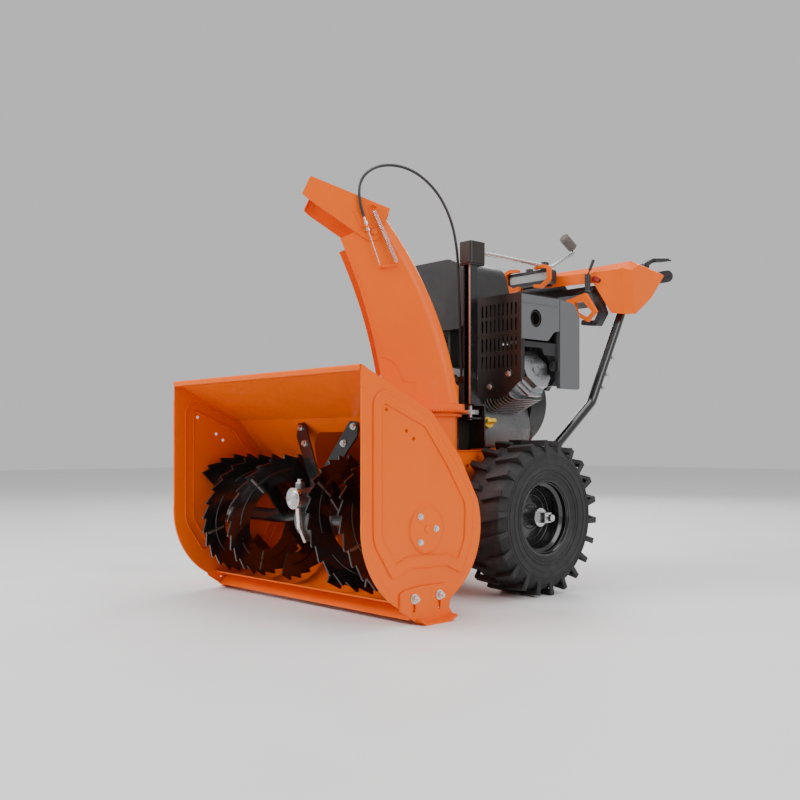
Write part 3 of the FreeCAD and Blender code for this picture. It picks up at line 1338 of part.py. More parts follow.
def dash_bezel():
    """Dark arch under the wings."""
    half = [(196, 926), (232, 838), (206, 798), (146, 806), (148, 822), (198, 816), (211, 840), (186, 904)]
    radii = [18, 8, 10, 3, 3, 6, 8, 14]
    points = half + [(-x, z) for x, z in reversed(half)]
    return slab(points, radii + radii[::-1], on_y(1150), (0, 30, 0))


def control_panel():
    """Bar between the wings that slopes down towards the operator."""
    nose = slab(PANEL, [3, 6, 10, 4, 4, 10], on_x(-PANEL_HALF), (2 * PANEL_HALF, 0, 0))
    shelf = slab(SHELF, [4, 4, 4, 4], on_x(-SHELF_HALF), (2 * SHELF_HALF, 0, 0))
    return nose.fuse(shelf)


def dash_moulding():
    """Dark bezel, panel, headlight housing and rod support in one moulding."""
    wings = loft(WING_SECTIONS)
    solids = [control_panel(), light_housing(), rod_support()]
    body = dash_bezel().fuse(solids)
    tube = bent_bar(handle_points(1), 46, 14.6)
    return body.cut([wings, mirrored(wings), tube, mirrored(tube), crank_bore(800)])


def rod_support():
    """Post with the bearing eye that the crank rod runs through."""
    eye = CRANK_START + CRANK_ALONG * 520
    left = eye.x - 12
    right = eye.x + 12
    top = eye.z + 13
    post = slab([(left, 950), (right, 950), (right, top), (left, top)], 6, on_y(eye.y - 7), (0, 14, 0))
    return post


def light_housing():
    body = slab([(-92, 940), (92, 940), (92, 986), (-92, 986)], 12, on_y(1062), (0, 31, 0))
    recess = slab([(-80, 951), (80, 951), (80, 977), (-80, 977)], 8, on_y(1060), (0, 12, 0))
    return body.cut(recess)


def headlight_lens():
    points = [(-79.5, 951.5), (79.5, 951.5), (79.5, 976.5), (-79.5, 976.5)]
    return slab(points, 7.6, on_y(1064), (0, 7.5, 0))


def light_bracket(side):
    """Orange hooked trim round one end of the headlight."""
    outer = [(30, 930), (62, 924), (98, 946), (98, 992), (70, 1000), (34, 996)]
    inner = [(20, 941), (60, 936), (86, 952), (86, 984), (66, 989), (20, 986)]
    ring = slab(outer, [4, 8, 12, 14, 8, 4], on_y(1050), (0, 11.5, 0))
    ring = ring.cut(slab(inner, [0, 6, 8, 8, 6, 0], on_y(1040), (0, 40, 0)))
    return ring if side > 0 else mirrored(ring)


def loop_trim(side):
    """Orange five-sided trim hanging inside the dash's arch."""
    outer = [(122, 882), (150, 886), (200, 898), (242, 836), (208, 806), (160, 834)]
    inner = [(158, 872), (192, 872), (226, 836), (207, 819), (168, 840)]
    ring = slab(outer, 3, on_y(1098), (0, 13, 0)).cut(slab(inner, 2, on_y(1090), (0, 40, 0)))
    return ring if side > 0 else mirrored(ring)


def grip(side):
    x = side * HANDLE_X
    bend, end = [V(*point) for point in handle_points(side)[-2:]]
    along = (end - bend).normalize()
    start = bend + along * 61
    sleeve = Part.makeCylinder(18.5, 124, start, along)
    bore = Part.makeCylinder(14, 140, start - along * 5, along)
    collar = Part.makeCylinder(22, 6, start, along)
    return fused(sleeve, collar).cut(bore)


LEVER_PIVOT = (1336.0, 1002.0)


def lever_clamp(side):
    x = side * HANDLE_X
    y, z = LEVER_PIVOT
    block = slab([(y - 16, z - 50), (y + 16, z - 43), (y + 14, z + 8), (y - 14, z + 8)], 6,
                 on_x(x - 20), (40, 0, 0))
    tube = bent_bar(handle_points(side), 46, 14.1)
    slot = box(x - 9, x + 9, y - 40, y + 60, z - 16, z + 30)
    pin_hole = rod((x - 30, y, z), (x + 30, y, z), 4)
    return block.cut([tube, slot, pin_hole])


def lever_pin(side):
    x = side * HANDLE_X
    y, z = LEVER_PIVOT
    return rod((x - 22, y, z), (x + 22, y, z), 3.98)


def clutch_lever(side):
    """Squeeze lever above a grip, with its eye round the pivot pin."""
    x = side * HANDLE_X
    y, z = LEVER_PIVOT
    eye = rod((x - 8, y, z), (x + 8, y, z), 10)
    arm_points = [(y + 2, z - 6), (y + 60, z + 22), (y + 150, z + 36), (y + 150, z + 46),
                  (y + 56, z + 34), (y - 2, z + 8)]
    arm = slab(arm_points, 2, on_x(x - 8), (16, 0, 0))
    paddle_points = [(y + 62, z + 23), (y + 150, z + 36), (y + 150, z + 41), (y + 62, z + 29)]
    paddle = slab(paddle_points, 1.5, on_x(x - 17), (34, 0, 0))
    hole = rod((x - 30, y, z), (x + 30, y, z), 3.98 + FIT)
    return fused(eye, arm, paddle).cut(hole)


BUTTON_CENTRE = V(212, 1142, 943)
BUTTON_ALONG = V(-0.30, -0.9, 0.3).normalize()


def start_button():
    return Part.makeCylinder(9, 17, BUTTON_CENTRE - BUTTON_ALONG * 6, BUTTON_ALONG)


def button_bore():
    return Part.makeCylinder(9 + FIT, 40, BUTTON_CENTRE - BUTTON_ALONG * 12, BUTTON_ALONG)


SPEED_PIVOT = V(-190, 1296, 905)


def speed_lever():
    """Gear selector behind the dash."""
    x, y, z = SPEED_PIVOT
    eye = rod((x - 4, y, z), (x + 4, y, z), 11)
    stem = box(x - 4, x + 4, y - 6, y + 6, z, z + 108)
    knob = rod((x, y, z + 104), (x, y, z + 142), 13)
    hole = rod((x - 20, y, z), (x + 20, y, z), 4 + FIT)
    return fused(eye, stem, knob).cut(hole)


def speed_bracket():
    """Forked bracket with its pin, fixed to the back of the panel."""
    x, y, z = SPEED_PIVOT
    left = box(x - 9, x - 5, y - 14, y + 14, z - 16, z + 12)
    right = box(x + 5, x + 9, y - 14, y + 14, z - 16, z + 12)
    pin = rod((x - 9, y, z), (x + 9, y, z), 4)
    bridge = box(x - 9, x + 9, y - 14, y + 14, z - 22, z - 15)
    leg = box(x - 9, x + 9, 1226.2, y - 12, 869, 884)
    slot = box(x - 5, x + 5, y - 40, y + 20, z - 15, z + 40)
    return fused(left, right, bridge, leg).cut(slot).fuse(pin)


STICK_PIVOT = V(193, 1122, 956)
STICK_LEAN = V(0.30, 0.22, 1).normalize()


def deflector_lever():
    """Small stick on the dash that works the deflector cable."""
    x, y, z = STICK_PIVOT
    ball = Part.makeSphere(5.5, STICK_PIVOT)
    pin = rod((x - 7, y, z), (x + 7, y, z), 2.5)
    stem = Part.makeCylinder(2.6, 24, STICK_PIVOT, STICK_LEAN)
    knob = Part.makeCylinder(5, 34, STICK_PIVOT + STICK_LEAN * 18, STICK_LEAN)
    return fused(ball, pin, stem, knob)


def stick_socket():
    """Cup on an arm that holds the ball of the deflector lever."""
    x, y, z = STICK_PIVOT
    cup = rod((x, y, z - 48), (x, y, z + 3), 9)
    arm = box(x - 6, x + 6, y, 1149.8, z - 48, z - 42)
    hollow = [
        Part.makeSphere(5.5 + FIT, STICK_PIVOT),
        Part.makeCone(4.2, 10, 6, STICK_PIVOT, V(0, 0, 1)),
        rod((x - 10, y, z), (x + 10, y, z), 2.5 + FIT),
    ]
    return fused(cup, arm).cut(hollow)


def fasteners():
    """Bolts and nuts of the fixed frame, each a separate solid."""
    parts = shoe_bolts()
    parts += [mirrored(part) for part in parts]
    return parts + housing_bolts() + scraper_bolts() + brace_bolts() + guard_bolts() + handle_bolts()


def bearings():
    """Flanged bushes of the augers, impeller and axle, and the axle's centre case."""
    pair = [bearing_flange(), axle_bearing()]
    return pair + [mirrored(part) for part in pair] + [impeller_bearing(), differential_case()]


def wheel_nodes(side, name):
    parts = {
        "half_axle": fused(half_axle(), wheel_hub()).fuse(hub_bolt()),
        "rim": wheel_rim(),
        "tyre": tyre(),
    }
    for part_name, part in parts.items():
        save(f"{part_name}_{name}", part if side > 0 else mirrored(part))


def save_front():
    """Auger housing and everything that turns inside it."""
    plate = side_plate()
    shoe = skid_shoe()
    save("housing_shell", housing_shell())
    save("side_plates", plate, mirrored(plate))
    save("skid_shoes", shoe, mirrored(shoe))
    save("scraper_bar", scraper_bar())
    save("fasteners", *fasteners())
    save("bearings", *bearings())
    save("impeller_housing", impeller_housing())
    save("gearcase_halves", gearcase_half(1), gearcase_half(-1))
    save("gearcase_fittings", gearcase_cap(), oil_plug(), gearcase_finger())
    save("gearcase_brace", gearcase_brace())
    save("auger_shaft", auger_shaft(), worm_gear())
    left_auger = auger(AUGER_PHASE)
    save("auger_left", left_auger)
    save("auger_right", mirrored(left_auger))
    save("impeller", impeller())
    driven_pulley = grooved_pulley((0, PULLEY_Y, WORM_Z), DRIVEN_PULLEY_R, IMPELLER_SHAFT_R)
    save("impeller_shaft", impeller_shaft(), driven_pulley)


def save_chute():
    """Discharge chute with its turning gear and crank."""
    save("chute_body", chute_body())
    save("chute_ring", chute_ring())
    save("chute_pinion", chute_pinion())
    save("deflector", deflector(), cable_ferrule())
    save("chute_fittings", *(deflector_pins() + [chute_hook()]))
    save("deflector_spring", deflector_spring())
    save("deflector_cable", deflector_cable(), cable_core())
    save("crank_rod", crank_rod())
    save("crank_knob", crank_knob())
    save("chute_gearbox", chute_gearbox())
    save("pedestal", pedestal())


def save_drive():
    """Chassis, wheels and engine."""
    save("tractor_frame", tractor_frame())
    for side, name in ((1, "left"), (-1, "right")):
        wheel_nodes(side, name)
    save("crankcase", crankcase())
    save("crankshaft", crankshaft(), grooved_pulley((0, PULLEY_Y, CRANK_Z), ENGINE_PULLEY_R, CRANKSHAFT_R))
    save("auger_belt", auger_belt())
    save("belt_cover", belt_cover())
    save("cylinder", cylinder())
    save("valve_cover", valve_cover())
    save("muffler", muffler())
    save("muffler_guard", muffler_guard())
    save("side_covers", side_cover_front(), side_cover_rear())
    save("control_box", *control_box())
    save("fan_housing", fan_housing())
    save("recoil_grip", recoil_grip())
    save("fuel_tank", fuel_tank())
    save("fuel_cap", fuel_cap())
    save("oil_cap", oil_cap())
    save("choke_knob", choke_knob())


def save_controls():
    """Handles, dash and levers."""
    save("handle_tubes", handle_tube(1), handle_tube(-1), handle_bracket(1), handle_bracket(-1))
    trims = [light_bracket(1), light_bracket(-1), loop_trim(1), loop_trim(-1)]
    save("dash_wings", *([dash_wing(1), dash_wing(-1)] + trims))
    save("dash_moulding", dash_moulding())
    save("headlight_lens", headlight_lens())
    save("grips", grip(1), grip(-1))
    clamps = [lever_clamp(1), lever_pin(1), lever_clamp(-1), lever_pin(-1)]
    save("lever_brackets", *(clamps + [speed_bracket(), stick_socket()]))
    save("clutch_lever_left", clutch_lever(1))
    save("clutch_lever_right", clutch_lever(-1))
    save("speed_lever", speed_lever())
    save("deflector_lever", deflector_lever())
    save("start_button", start_button())


def build():
    os.makedirs("parts", exist_ok=True)
    save_front()
    save_chute()
    save_drive()
    save_controls()


if __name__ == "__main__":
    build()
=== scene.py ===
import json
import math
import bpy
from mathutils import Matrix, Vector


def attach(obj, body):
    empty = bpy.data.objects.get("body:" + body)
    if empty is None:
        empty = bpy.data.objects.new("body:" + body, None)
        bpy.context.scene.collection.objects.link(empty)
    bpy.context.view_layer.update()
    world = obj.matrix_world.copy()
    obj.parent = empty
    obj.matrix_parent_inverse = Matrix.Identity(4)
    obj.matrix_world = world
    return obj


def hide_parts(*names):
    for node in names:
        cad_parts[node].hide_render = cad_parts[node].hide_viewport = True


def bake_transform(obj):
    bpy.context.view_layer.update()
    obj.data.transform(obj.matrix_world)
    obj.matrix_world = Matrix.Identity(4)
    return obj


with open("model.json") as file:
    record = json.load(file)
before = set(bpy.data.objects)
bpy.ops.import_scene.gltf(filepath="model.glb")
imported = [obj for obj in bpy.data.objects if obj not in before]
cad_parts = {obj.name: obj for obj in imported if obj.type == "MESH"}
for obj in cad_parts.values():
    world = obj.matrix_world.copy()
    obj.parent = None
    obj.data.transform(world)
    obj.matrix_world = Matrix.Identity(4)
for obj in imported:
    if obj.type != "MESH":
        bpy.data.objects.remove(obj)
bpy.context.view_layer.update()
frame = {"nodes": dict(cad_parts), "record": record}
nodes = frame["nodes"]
MM = 0.001

# Sizes of the CAD model, mm.  X is across the machine, Y runs back from
# the mouth of the auger housing and Z is up from the ground.
MID_Y = 748.0
PLATE_X = 413.0
AUGER_Y = 200.0
AUGER_Z = 222.0
FLIGHT_START = 100.0
AUGER_PITCH = 250.0
AUGER_PHASES = (-108.0, 72.0)
WORM_Z = 280.0
CHUTE_X = 100.0
CHUTE_Y = 490.0
CHUTE_TURN = 38.0
CHUTE_HALF = 95.0
WHEEL_Y = 738.0
AXLE_Z = 217.0
WHEEL_INNER_X = 188.0
TYRE_WIDTH = 164.0
GUARD_X0 = 112.0
GUARD_X1 = 278.0
GUARD_Y0 = 700.0
HANDLE_X = 250.0


def at(x, y, z):
    """Point given in the housing's millimetres, Y measured from its mouth."""
    return Vector((x * MM, (y - MID_Y) * MM, z * MM))


def on_chute(s, t, z):
    """Point given by the chute's throw direction, side offset and height."""
    turn = math.radians(CHUTE_TURN)
    x = CHUTE_X - math.sin(turn) * s + math.cos(turn) * t
    y = CHUTE_Y - math.cos(turn) * s - math.sin(turn) * t
    return at(x, y, z)


def on_flight(side, phase, radius, turn, lift):
    """Point on an auger ribbon: degrees along its helix, and off its middle."""
    angle = math.radians(phase + turn)
    x = FLIGHT_START + AUGER_PITCH * turn / 360 + lift
    return at(side * x, AUGER_Y + radius * math.cos(angle), AUGER_Z + radius * math.sin(angle))


# ---------------------------------------------------------------- materials
class Shader:
    """A principled material whose colour, roughness and bump are built up in layers."""

    def __init__(self, name, colour, roughness, metallic=0.0, coat=0.0, specular=0.5):
        self.material = bpy.data.materials.new(name)
        self.material.use_nodes = True
        self.tree = self.material.node_tree
        self.shader = self.tree.nodes["Principled BSDF"]
        self.shader.inputs["Metallic"].default_value = metallic
        self.shader.inputs["Coat Weight"].default_value = coat
        self.shader.inputs["Specular IOR Level"].default_value = specular
        self.shader.inputs["Coat Roughness"].default_value = 0.08
        self.place = self.add("ShaderNodeTexCoord").outputs["Object"]
        self.colour = self.rgb(colour)
        self.roughness = roughness
        self.height = None

    def add(self, kind, **values):
        node = self.tree.nodes.new(kind)
        for key, value in values.items():
            setattr(node, key, value)
        return node

    def link(self, source, target):
        self.tree.links.new(source, target)

    def rgb(self, colour):
        node = self.add("ShaderNodeRGB")
        node.outputs[0].default_value = (*colour, 1)
        return node.outputs[0]

    def noise(self, scale, detail=4.0, stretch=(1, 1, 1)):
        """Noise in object space, from 0 to 1, stretched along the axes."""
        mapping = self.add("ShaderNodeMapping")
        mapping.inputs["Scale"].default_value = stretch
        self.link(self.place, mapping.inputs["Vector"])
        node = self.add("ShaderNodeTexNoise")
        node.inputs["Scale"].default_value = scale
        node.inputs["Detail"].default_value = detail
        self.link(mapping.outputs["Vector"], node.inputs["Vector"])
        return node.outputs["Fac"]

    def ramp(self, value, low, high, start=0.0, end=1.0):
        """Rescales a value between two limits to a new range."""
        node = self.add("ShaderNodeMapRange")
        node.inputs["From Min"].default_value = low
        node.inputs["From Max"].default_value = high
        node.inputs["To Min"].default_value = start
        node.inputs["To Max"].default_value = end
        self.link(value, node.inputs["Value"])
        return node.outputs["Result"]

    def tint(self, factor, colour):
        node = self.add("ShaderNodeMix", data_type="RGBA")
        self.link(factor, node.inputs["Factor"])
        self.link(self.colour, node.inputs["A"])
        node.inputs["B"].default_value = (*colour, 1)
        self.colour = node.outputs["Result"]

    def rough_between(self, value, low, high):
        self.roughness = self.ramp(value, 0.3, 0.7, low, high)

    def soften(self, radius):
        """Rounds sharp edges in the shading, as pressed sheet and castings have."""
        node = self.add("ShaderNodeBevel", samples=4)
        node.inputs["Radius"].default_value = radius
        self.height = node.outputs["Normal"]

    def bump(self, value, strength, distance):
        node = self.add("ShaderNodeBump")
        node.inputs["Strength"].default_value = strength
        node.inputs["Distance"].default_value = distance
        self.link(value, node.inputs["Height"])
        if self.height is not None:
            self.link(self.height, node.inputs["Normal"])
        self.height = node.outputs["Normal"]

    def finish(self):
        self.link(self.colour, self.shader.inputs["Base Color"])
        if isinstance(self.roughness, float):
            self.shader.inputs["Roughness"].default_value = self.roughness
        else:
            self.link(self.roughness, self.shader.inputs["Roughness"])
        if self.height is not None:
            self.link(self.height, self.shader.inputs["Normal"])
        return self.material


def paint(name, colour, dark, roughness, coat, peel=0.10, specular=0.5):
    """Sprayed paint: slight mottling and orange peel over rounded edges."""
    layer = Shader(name, colour, roughness, coat=coat, specular=specular)
    layer.soften(1.6 * MM)
    cloud = layer.noise(6.0, 5.0)
    layer.tint(layer.ramp(cloud, 0.45, 0.80, 0.0, 0.25), dark)
    layer.tint(layer.ramp(layer.noise(55.0, 6.0), 0.62, 0.80, 0.0, 0.2), dark)
    layer.rough_between(layer.noise(22.0, 5.0), roughness * 0.75, roughness * 1.35)
    layer.bump(layer.noise(420.0, 2.0), peel, 0.0006)
    return layer.finish()


def metal(name, colour, roughness, stretch=(1, 1, 1), grain=240.0):
    """Bare metal with fine drawn or cast grain and faint stains."""
    layer = Shader(name, colour, roughness, metallic=1.0)
    layer.soften(1.0 * MM)
    stained = tuple(channel * 0.62 for channel in colour)
    layer.tint(layer.ramp(layer.noise(14.0, 6.0), 0.5, 0.8, 0.0, 0.5), stained)
    layer.rough_between(layer.noise(grain, 4.0, stretch), roughness * 0.7, roughness * 1.4)
    layer.bump(layer.noise(grain, 4.0, stretch), 0.12, 0.0005)
    return layer.finish()


def plastic(name, colour, roughness, grain=650.0):
    """Moulded plastic with a fine leather-like texture and a little dust."""
    layer = Shader(name, colour, roughness)
    dusty = tuple(min(1.0, channel * 1.4 + 0.02) for channel in colour)
    layer.tint(layer.ramp(layer.noise(9.0, 5.0), 0.5, 0.85, 0.0, 0.5), dusty)
    layer.rough_between(layer.noise(30.0, 5.0), roughness * 0.8, roughness * 1.2)
    layer.bump(layer.noise(grain, 3.0), 0.15, 0.0005)
    return layer.finish()


def rubber(name, colour, roughness):
    """Moulded rubber, chalky in patches, with a rough skin."""
    layer = Shader(name, colour, roughness)
    chalky = tuple(channel * 1.9 + 0.012 for channel in colour)
    scuffed = tuple(channel * 2.6 + 0.02 for channel in colour)
    layer.tint(layer.ramp(layer.noise(12.0, 6.0), 0.45, 0.8, 0.0, 0.6), chalky)
    layer.tint(layer.ramp(layer.noise(70.0, 6.0), 0.6, 0.8, 0.0, 0.4), scuffed)
    layer.rough_between(layer.noise(40.0, 5.0), roughness * 0.85, roughness * 1.1)
    layer.bump(layer.noise(300.0, 5.0), 0.25, 0.001)
    return layer.finish()


def glass(name, colour):
    layer = Shader(name, colour, 0.12)
    layer.shader.inputs["Transmission Weight"].default_value = 0.6
    layer.rough_between(layer.noise(60.0), 0.08, 0.2)
    layer.bump(layer.noise(90.0, 1.0, (8, 1, 1)), 0.3, 0.001)
    return layer.finish()


FINISHES = {
    "orange_paint": paint("orange_paint", (0.88, 0.13, 0.0), (0.74, 0.09, 0.0), 0.36, 0.1, 0.06, 0.15),
    "black_paint": paint("black_paint", (0.007, 0.007, 0.008), (0.02, 0.02, 0.021), 0.22, 0.5),
    "dark_metal": paint("dark_metal", (0.014, 0.010, 0.008), (0.03, 0.022, 0.018), 0.38, 0.0, 0.15),
    "grey_panel": paint("grey_panel", (0.11, 0.112, 0.116), (0.09, 0.09, 0.094), 0.38, 0.1, 0.12),
    "steel": metal("steel", (0.62, 0.62, 0.63), 0.28, (1, 0.05, 1)),
    "zinc": metal("zinc", (0.72, 0.71, 0.69), 0.25),
    "cast_grey": metal("cast_grey", (0.24, 0.24, 0.245), 0.5, (1, 1, 1), 160.0),
    "aluminium": metal("aluminium", (0.46, 0.47, 0.48), 0.34, (1, 1, 1), 180.0),
    "tyre_rubber": rubber("tyre_rubber", (0.015, 0.015, 0.016), 0.72),
    "belt_rubber": rubber("belt_rubber", (0.016, 0.016, 0.017), 0.6),
    "black_plastic": plastic("black_plastic", (0.018, 0.018, 0.02), 0.45),
    "grey_plastic": plastic("grey_plastic", (0.12, 0.105, 0.095), 0.42),
    "yellow_plastic": plastic("yellow_plastic", (0.82, 0.50, 0.02), 0.3),
    "red_plastic": plastic("red_plastic", (0.30, 0.012, 0.012), 0.3),
    "lens": glass("lens", (0.85, 0.87, 0.88)),
}


def dress(obj, finish):
    obj.data.materials.clear()
    obj.data.materials.append(FINISHES[finish])


for entry in frame["record"]["subparts"]:
    dress(nodes[entry["node"]], entry["material_slot"])


# ---------------------------------------------------------------- pieces
def piece(name, mesh, body, finish, *stands_for):
    """Puts a finished mesh into the scene, riding on a CAD body."""
    obj = bpy.data.objects.new(name, mesh)
    bpy.context.scene.collection.objects.link(obj)
    if not obj.data.materials:
        obj.data.materials.append(FINISHES[finish])
    if body:
        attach(obj, body)
    if stands_for:
        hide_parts(*stands_for)
    return obj


def round_curve(name, radius):
    curve = bpy.data.curves.new(name, "CURVE")
    curve.dimensions = "3D"
    curve.bevel_depth = radius * MM
    curve.bevel_resolution = 3
    curve.resolution_u = 10
    curve.use_fill_caps = True
    return curve


def mesh_of(curve):
    holder = bpy.data.objects.new(curve.name, curve)
    bpy.context.scene.collection.objects.link(holder)
    bpy.context.view_layer.update()
    mesh = bpy.data.meshes.new_from_object(holder.evaluated_get(bpy.context.evaluated_depsgraph_get()))
    bpy.data.objects.remove(holder)
    for polygon in mesh.polygons:
        polygon.use_smooth = True
    return mesh


def smooth_tube(name, points, radius):
    """Round tube along a smooth open spline with the given control points."""
    curve = round_curve(name, radius)
    spline = curve.splines.new("NURBS")
    spline.points.add(len(points) - 1)
    for target, point in zip(spline.points, points):
        target.co = (*point, 1)
    spline.order_u = 3
    spline.use_endpoint_u = True
    return mesh_of(curve)


def beads(name, lines, radius, closed=False):
    """Round beads of one size along lines of points, as one mesh."""
    curve = round_curve(name, radius)
    for points in lines:
        spline = curve.splines.new("POLY")
        spline.points.add(len(points) - 1)
        for target, point in zip(spline.points, points):
            target.co = (*point, 1)
        spline.use_cyclic_u = closed
    return mesh_of(curve)


def circle(centre, axis, radius, steps=72):
    """Points of a circle, radius in mm, about an axis through a centre."""
    turn = Vector((0, 0, 1)).rotation_difference(Vector(axis))
    points = []
    for step in range(steps):
        angle = 2 * math.pi * step / steps
        spoke = Vector((radius * MM * math.cos(angle), radius * MM * math.sin(angle), 0))
        points.append(centre + turn @ spoke)
    return points


def inset_loop(corners, radii, inset):
    """The corners and radii of a rounded outline, moved inwards."""
    count = len(corners)
    points = [Vector(corner) for corner in corners]
    area = sum(points[i - 1].cross(points[i]) for i in range(count))
    moved = []
    for index, point in enumerate(points):
        before = (point - points[index - 1]).normalized()
        after = (points[(index + 1) % count] - point).normalized()
        left = Vector((-before.y, before.x)) + Vector((-after.y, after.x))
        left *= math.copysign(1, area)
        turn = before.cross(after) * math.copysign(1, area)
        reach = inset / (left.length / 2)
        radius = radii[index] - math.copysign(inset, turn)
        moved.append((point + left.normalized() * reach, max(radius, 4.0)))
    return moved


def rounded(loop, place, steps=8):
    """Points along an outline whose corners are rounded by tangent arcs."""
    points = []
    for index, (corner, radius) in enumerate(loop):
        before = (loop[index - 1][0] - corner).normalized()
        after = (loop[(index + 1) % len(loop)][0] - corner).normalized()
        half = before.angle(after) / 2
        centre = corner + (before + after).normalized() * (radius / math.sin(half))
        start = corner + before * (radius / math.tan(half)) - centre
        end = corner + after * (radius / math.tan(half)) - centre
        for step in range(steps + 1):
            spoke = start.lerp(end, step / steps).normalized() * radius
            points.append(place(*(centre + spoke)))
    return points


# The control cable's route, from the deflector's ferrule to the pedestal's clip.
CABLE_ROUTE = [(80.45, 289.55, 1030.5), (69, 275, 1087), (66, 300, 1152), (74, 372, 1190), (88, 462, 1188),
               (102, 540, 1142), (111, 590, 1068), (114, 612, 984), (113, 619, 894), (113, 623, 804),
               (117, 624, 714), (121, 622, 644), (121, 622, 596)]
CABLE_T = 108.0
FERRULE = {
    "sleeve": ((169.5, 1028.5), (158.5, 994.5), 3.3),
    "collar": ((165.2, 1016.6), (162.8, 1009.4), 6.3),
    "nut": ((160.8, 1001.6), (157.4, 992.4), 5.8),
}


def control_cable():
    """Black sheath from the deflector to the pedestal, and its bare inner wire."""
    route = [at(*point) for point in CABLE_ROUTE]
    sheath = piece("cable_sheath", smooth_tube("cable_sheath", route, 4), None, "black_plastic",
                   "deflector_cable")
    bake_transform(sheath)
    wire = [on_chute(157 - 30 * step / 8, CABLE_T, 990 - 88.5 * step / 8) for step in range(9)]
    inner = piece("cable_wire", beads("cable_wire", [wire], 1.6), None, "steel", "deflector_cable")
    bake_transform(inner)
    for part, (start, end, radius) in FERRULE.items():
        line = [on_chute(s, CABLE_T, z) for s, z in (start, end)]
        piece("ferrule_" + part, beads("ferrule_" + part, [line], radius), "deflector", "zinc")


BEAD_LOOP = [(33, 561), (212, 488), (289, 393), (362, 284), (356, 180), (320, 106),
             (267, 130), (147, 132), (92, 110), (33, 200)]
BEAD_RADII = [36, 40, 60, 80, 60, 14, 22, 22, 14, 80]
BEAD_WIDTH = 30
BEAD_HEIGHT = 3


def plate_ridges(side, name):
    """Rounded edges of a side plate's pressed loop and boss, outside and inside."""
    edge = 2.2
    lines = []
    for x in (PLATE_X + BEAD_HEIGHT - 0.8, PLATE_X - 3.3):
        for inset in (edge, BEAD_WIDTH - edge):
            loop = inset_loop(BEAD_LOOP, BEAD_RADII, inset)
            lines.append(rounded(loop, lambda y, z, x=x: at(side * x, y, z)))
    for x, radius in ((PLATE_X + 3.4, 54), (PLATE_X - 2.6, 58)):
        lines.append(circle(at(side * x, AUGER_Y, AUGER_Z), (1, 0, 0), radius))
    piece("plate_ridges_" + name, beads("plate_ridges", lines, edge, True), "chassis", "orange_paint")
    cap = [at(side * (PLATE_X + 4.4), AUGER_Y, AUGER_Z), at(side * (PLATE_X + 5.4), AUGER_Y, AUGER_Z)]
    piece("boss_cap_" + name, beads("boss_cap", [cap], 9), "chassis", "orange_paint")


def roof_edge():
    """Rolled front edge of the housing's roof."""
    lines = [[at(-PLATE_X + 3, 1.5, 597.5), at(PLATE_X - 3, 1.5, 597.5)]]
    piece("roof_edge", beads("roof_edge", lines, 2.4), "chassis", "orange_paint")


def chute_ridges():
    """Pressed lines on both sides of the chute: along its front edge, and an arch."""
    edge = [(203, 922), (186, 878), (160, 800), (140, 725), (125, 662)]
    arch = [(128, 656), (112, 655), (96, 648), (82, 634), (72, 614), (64, 592), (44, 590), (26, 590)]
    lines = []
    for t in (-CHUTE_HALF, CHUTE_HALF):
        for points in (edge, arch):
            lines.append([on_chute(s, t, z) for s, z in points])
    piece("chute_ridges", beads("chute_ridges", lines, 1.3), "chute", "orange_paint")


NECK_R = 98.6
NECK_INNER_R = 94.4
COLLAR_TOP = 599


def chute_collar():
    """Sloping collar that closes the step between the chute's round neck and its flat back."""
    rings = []
    for step in range(-8, 9):
        angle = math.radians(3 * step)
        back = math.cos(angle)
        across = math.sin(angle)
        rim = 585.0 + 10 * (1 - back)
        rings.append([on_chute(-NECK_R * back, NECK_R * across, rim - 3),
                      on_chute(-81.6, NECK_R * across, COLLAR_TOP),
                      on_chute(-78.6, NECK_R * across, COLLAR_TOP),
                      on_chute(-NECK_INNER_R * back, NECK_INNER_R * across, rim - 8)])
    count = len(rings[0])
    faces = [tuple(range(count)), tuple(reversed(range(len(rings) * count - count, len(rings) * count)))]
    for ring in range(len(rings) - 1):
        for corner in range(count):
            first = ring * count + corner
            second = ring * count + (corner + 1) % count
            faces.append((first, first + count, second + count, second))
    mesh = bpy.data.meshes.new("chute_collar")
    mesh.from_pydata([point for ring in rings for point in ring], [], faces)
    piece("chute_collar", mesh, "chute", "orange_paint")


def auger_ridges(side, name):
    """Embossed arcs on both faces of an auger's ribbons, and pale grey strips across them that paint the
    highlight on the ribbons' bent joints.
    """
    arcs = []
    glint_strips = []
    for phase in AUGER_PHASES:
        for lift in (-2.5, 2.5):
            for start, end in ((14, 122), (140, 244), (262, 402)):
                turns = range(start, end, 6)
                arcs.append([on_flight(side, phase, 131, turn, lift) for turn in turns])
        # Pale grey strips across each ribbon: painted highlight where the bent joints catch the light.
        for turn in (66, 186, 306):
            glint_strips.append([on_flight(side, phase, radius, turn, 0) for radius in (104, 158)])
    piece("auger_arcs_" + name, beads("auger_arcs", arcs, 2.4), "augers", "black_paint")
    piece("auger_glint_strips_" + name, beads("auger_glint_strips", glint_strips, 4.6), "augers", "cast_grey")


def gearcase_rings():
    """Concentric rings on the gear casing's front cap."""
    lines = [circle(at(0, 111, WORM_Z), (0, 1, 0), radius) for radius in (7, 13, 19)]
    piece("gearcase_rings", beads("gearcase_rings", lines, 1.2, True), "chassis", "steel")


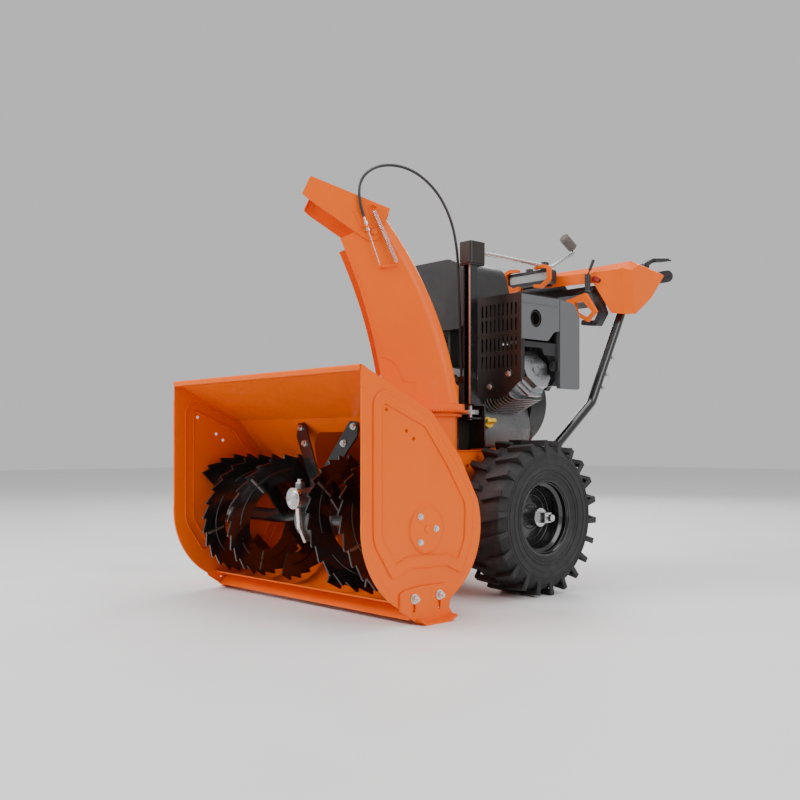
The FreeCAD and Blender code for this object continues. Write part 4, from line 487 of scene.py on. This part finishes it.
def wheel_rings(side, name):
    """Moulded rings on a tyre's sidewalls, and rolled steps in its rim."""
    inner = WHEEL_INNER_X
    outer = WHEEL_INNER_X + TYRE_WIDTH
    wall = []
    for radius, depth in ((176, 2.4), (168, 1.7), (150, 0), (131, 3.4), (122, 6)):
        for x in (inner + depth, outer - depth):
            wall.append(circle(at(side * x, WHEEL_Y, AXLE_Z), (1, 0, 0), radius, 96))
    body = "wheel_" + name
    piece("tyre_rings_" + name, beads("tyre_rings", wall, 1.5, True), body, "tyre_rubber")
    steps = []
    rolled = ((outer - 15, 103), (outer - 22, 98), (inner + 88, 84), (inner + 91, 62), (inner + 92, 34))
    for x, radius in rolled:
        steps.append(circle(at(side * x, WHEEL_Y, AXLE_Z), (1, 0, 0), radius))
    piece("rim_steps_" + name, beads("rim_steps", steps, 2.2, True), body, "black_paint")


def guard_details():
    """Crease across the muffler guard and the rims of its two sunk bolts."""
    crease = [[at(GUARD_X0 + 3, GUARD_Y0, 736), at(GUARD_X1 - 3, GUARD_Y0, 736)]]
    piece("guard_crease", beads("guard_crease", crease, 1.4), "chassis", "dark_metal")
    rims = [circle(at(x, GUARD_Y0, z), (0, 1, 0), 13, 40) for x, z in ((160, 588), (232, 622))]
    piece("guard_bolt_rims", beads("guard_bolt_rims", rims, 2.0, True), "chassis", "dark_metal")


def grip_ribs(side, name):
    """Raised rings along a hand grip."""
    bend = at(side * HANDLE_X, 1312, 952)
    along = (at(side * HANDLE_X, 1497, 991) - bend).normalized()
    rings = [circle(bend + along * (distance * MM), along, 18.3, 40) for distance in range(76, 182, 7)]
    piece("grip_ribs_" + name, beads("grip_ribs", rings, 1.5, True), "chassis", "black_plastic")


control_cable()
roof_edge()
chute_ridges()
chute_collar()
gearcase_rings()
guard_details()
for side, name in ((1, "left"), (-1, "right")):
    plate_ridges(side, name)
    auger_ridges(side, name)
    wheel_rings(side, name)
    grip_ribs(side, name)


# ---------------------------------------------------------------- stage
def build_stage():
    mesh = bpy.data.meshes.new("floor")
    half = 14.0
    corners = [(-half, -half, 0), (half, -half, 0), (half, half, 0), (-half, half, 0)]
    mesh.from_pydata(corners, [], [(0, 1, 2, 3)])
    floor = bpy.data.objects.new("floor", mesh)
    bpy.context.scene.collection.objects.link(floor)
    layer = Shader("floor_paint", (0.80, 0.80, 0.80), 0.6)
    layer.rough_between(layer.noise(3.0), 0.5, 0.7)
    mesh.materials.append(layer.finish())


def area_light(name, place, aim, size, power):
    data = bpy.data.lights.new(name, "AREA")
    data.shape = "RECTANGLE"
    data.size = size[0]
    data.size_y = size[1]
    data.energy = power
    light = bpy.data.objects.new(name, data)
    light.location = place
    light.rotation_euler = (Vector(aim) - Vector(place)).to_track_quat("-Z", "Y").to_euler()
    bpy.context.scene.collection.objects.link(light)


def build_light():
    middle = (0, 0, 0.5)
    area_light("key", (-1.6, -3.6, 3.6), middle, (2.6, 2.6), 195)
    area_light("side", (4.2, -0.2, 2.6), middle, (2.6, 3.0), 94)
    area_light("top", (0.2, 0.4, 4.4), middle, (3.2, 3.2), 100)
    area_light("back", (-2.6, 3.4, 2.6), middle, (2.4, 2.0), 70)
    world = bpy.data.worlds.new("studio")
    world.use_nodes = True
    world.node_tree.nodes["Background"].inputs["Color"].default_value = (1, 1, 1, 1)
    world.node_tree.nodes["Background"].inputs["Strength"].default_value = 0.62
    bpy.context.scene.world = world


def build_camera():
    data = bpy.data.cameras.new("camera")
    data.sensor_width = 36.0
    data.lens = 43.66
    data.shift_y = 0.056
    camera = bpy.data.objects.new("camera", data)
    camera.location = (2.0591, -2.1363, 0.4202)
    camera.rotation_euler = (math.radians(90), 0, math.radians(47.57))
    bpy.context.scene.collection.objects.link(camera)
    bpy.context.scene.camera = camera


build_stage()
build_light()
build_camera()
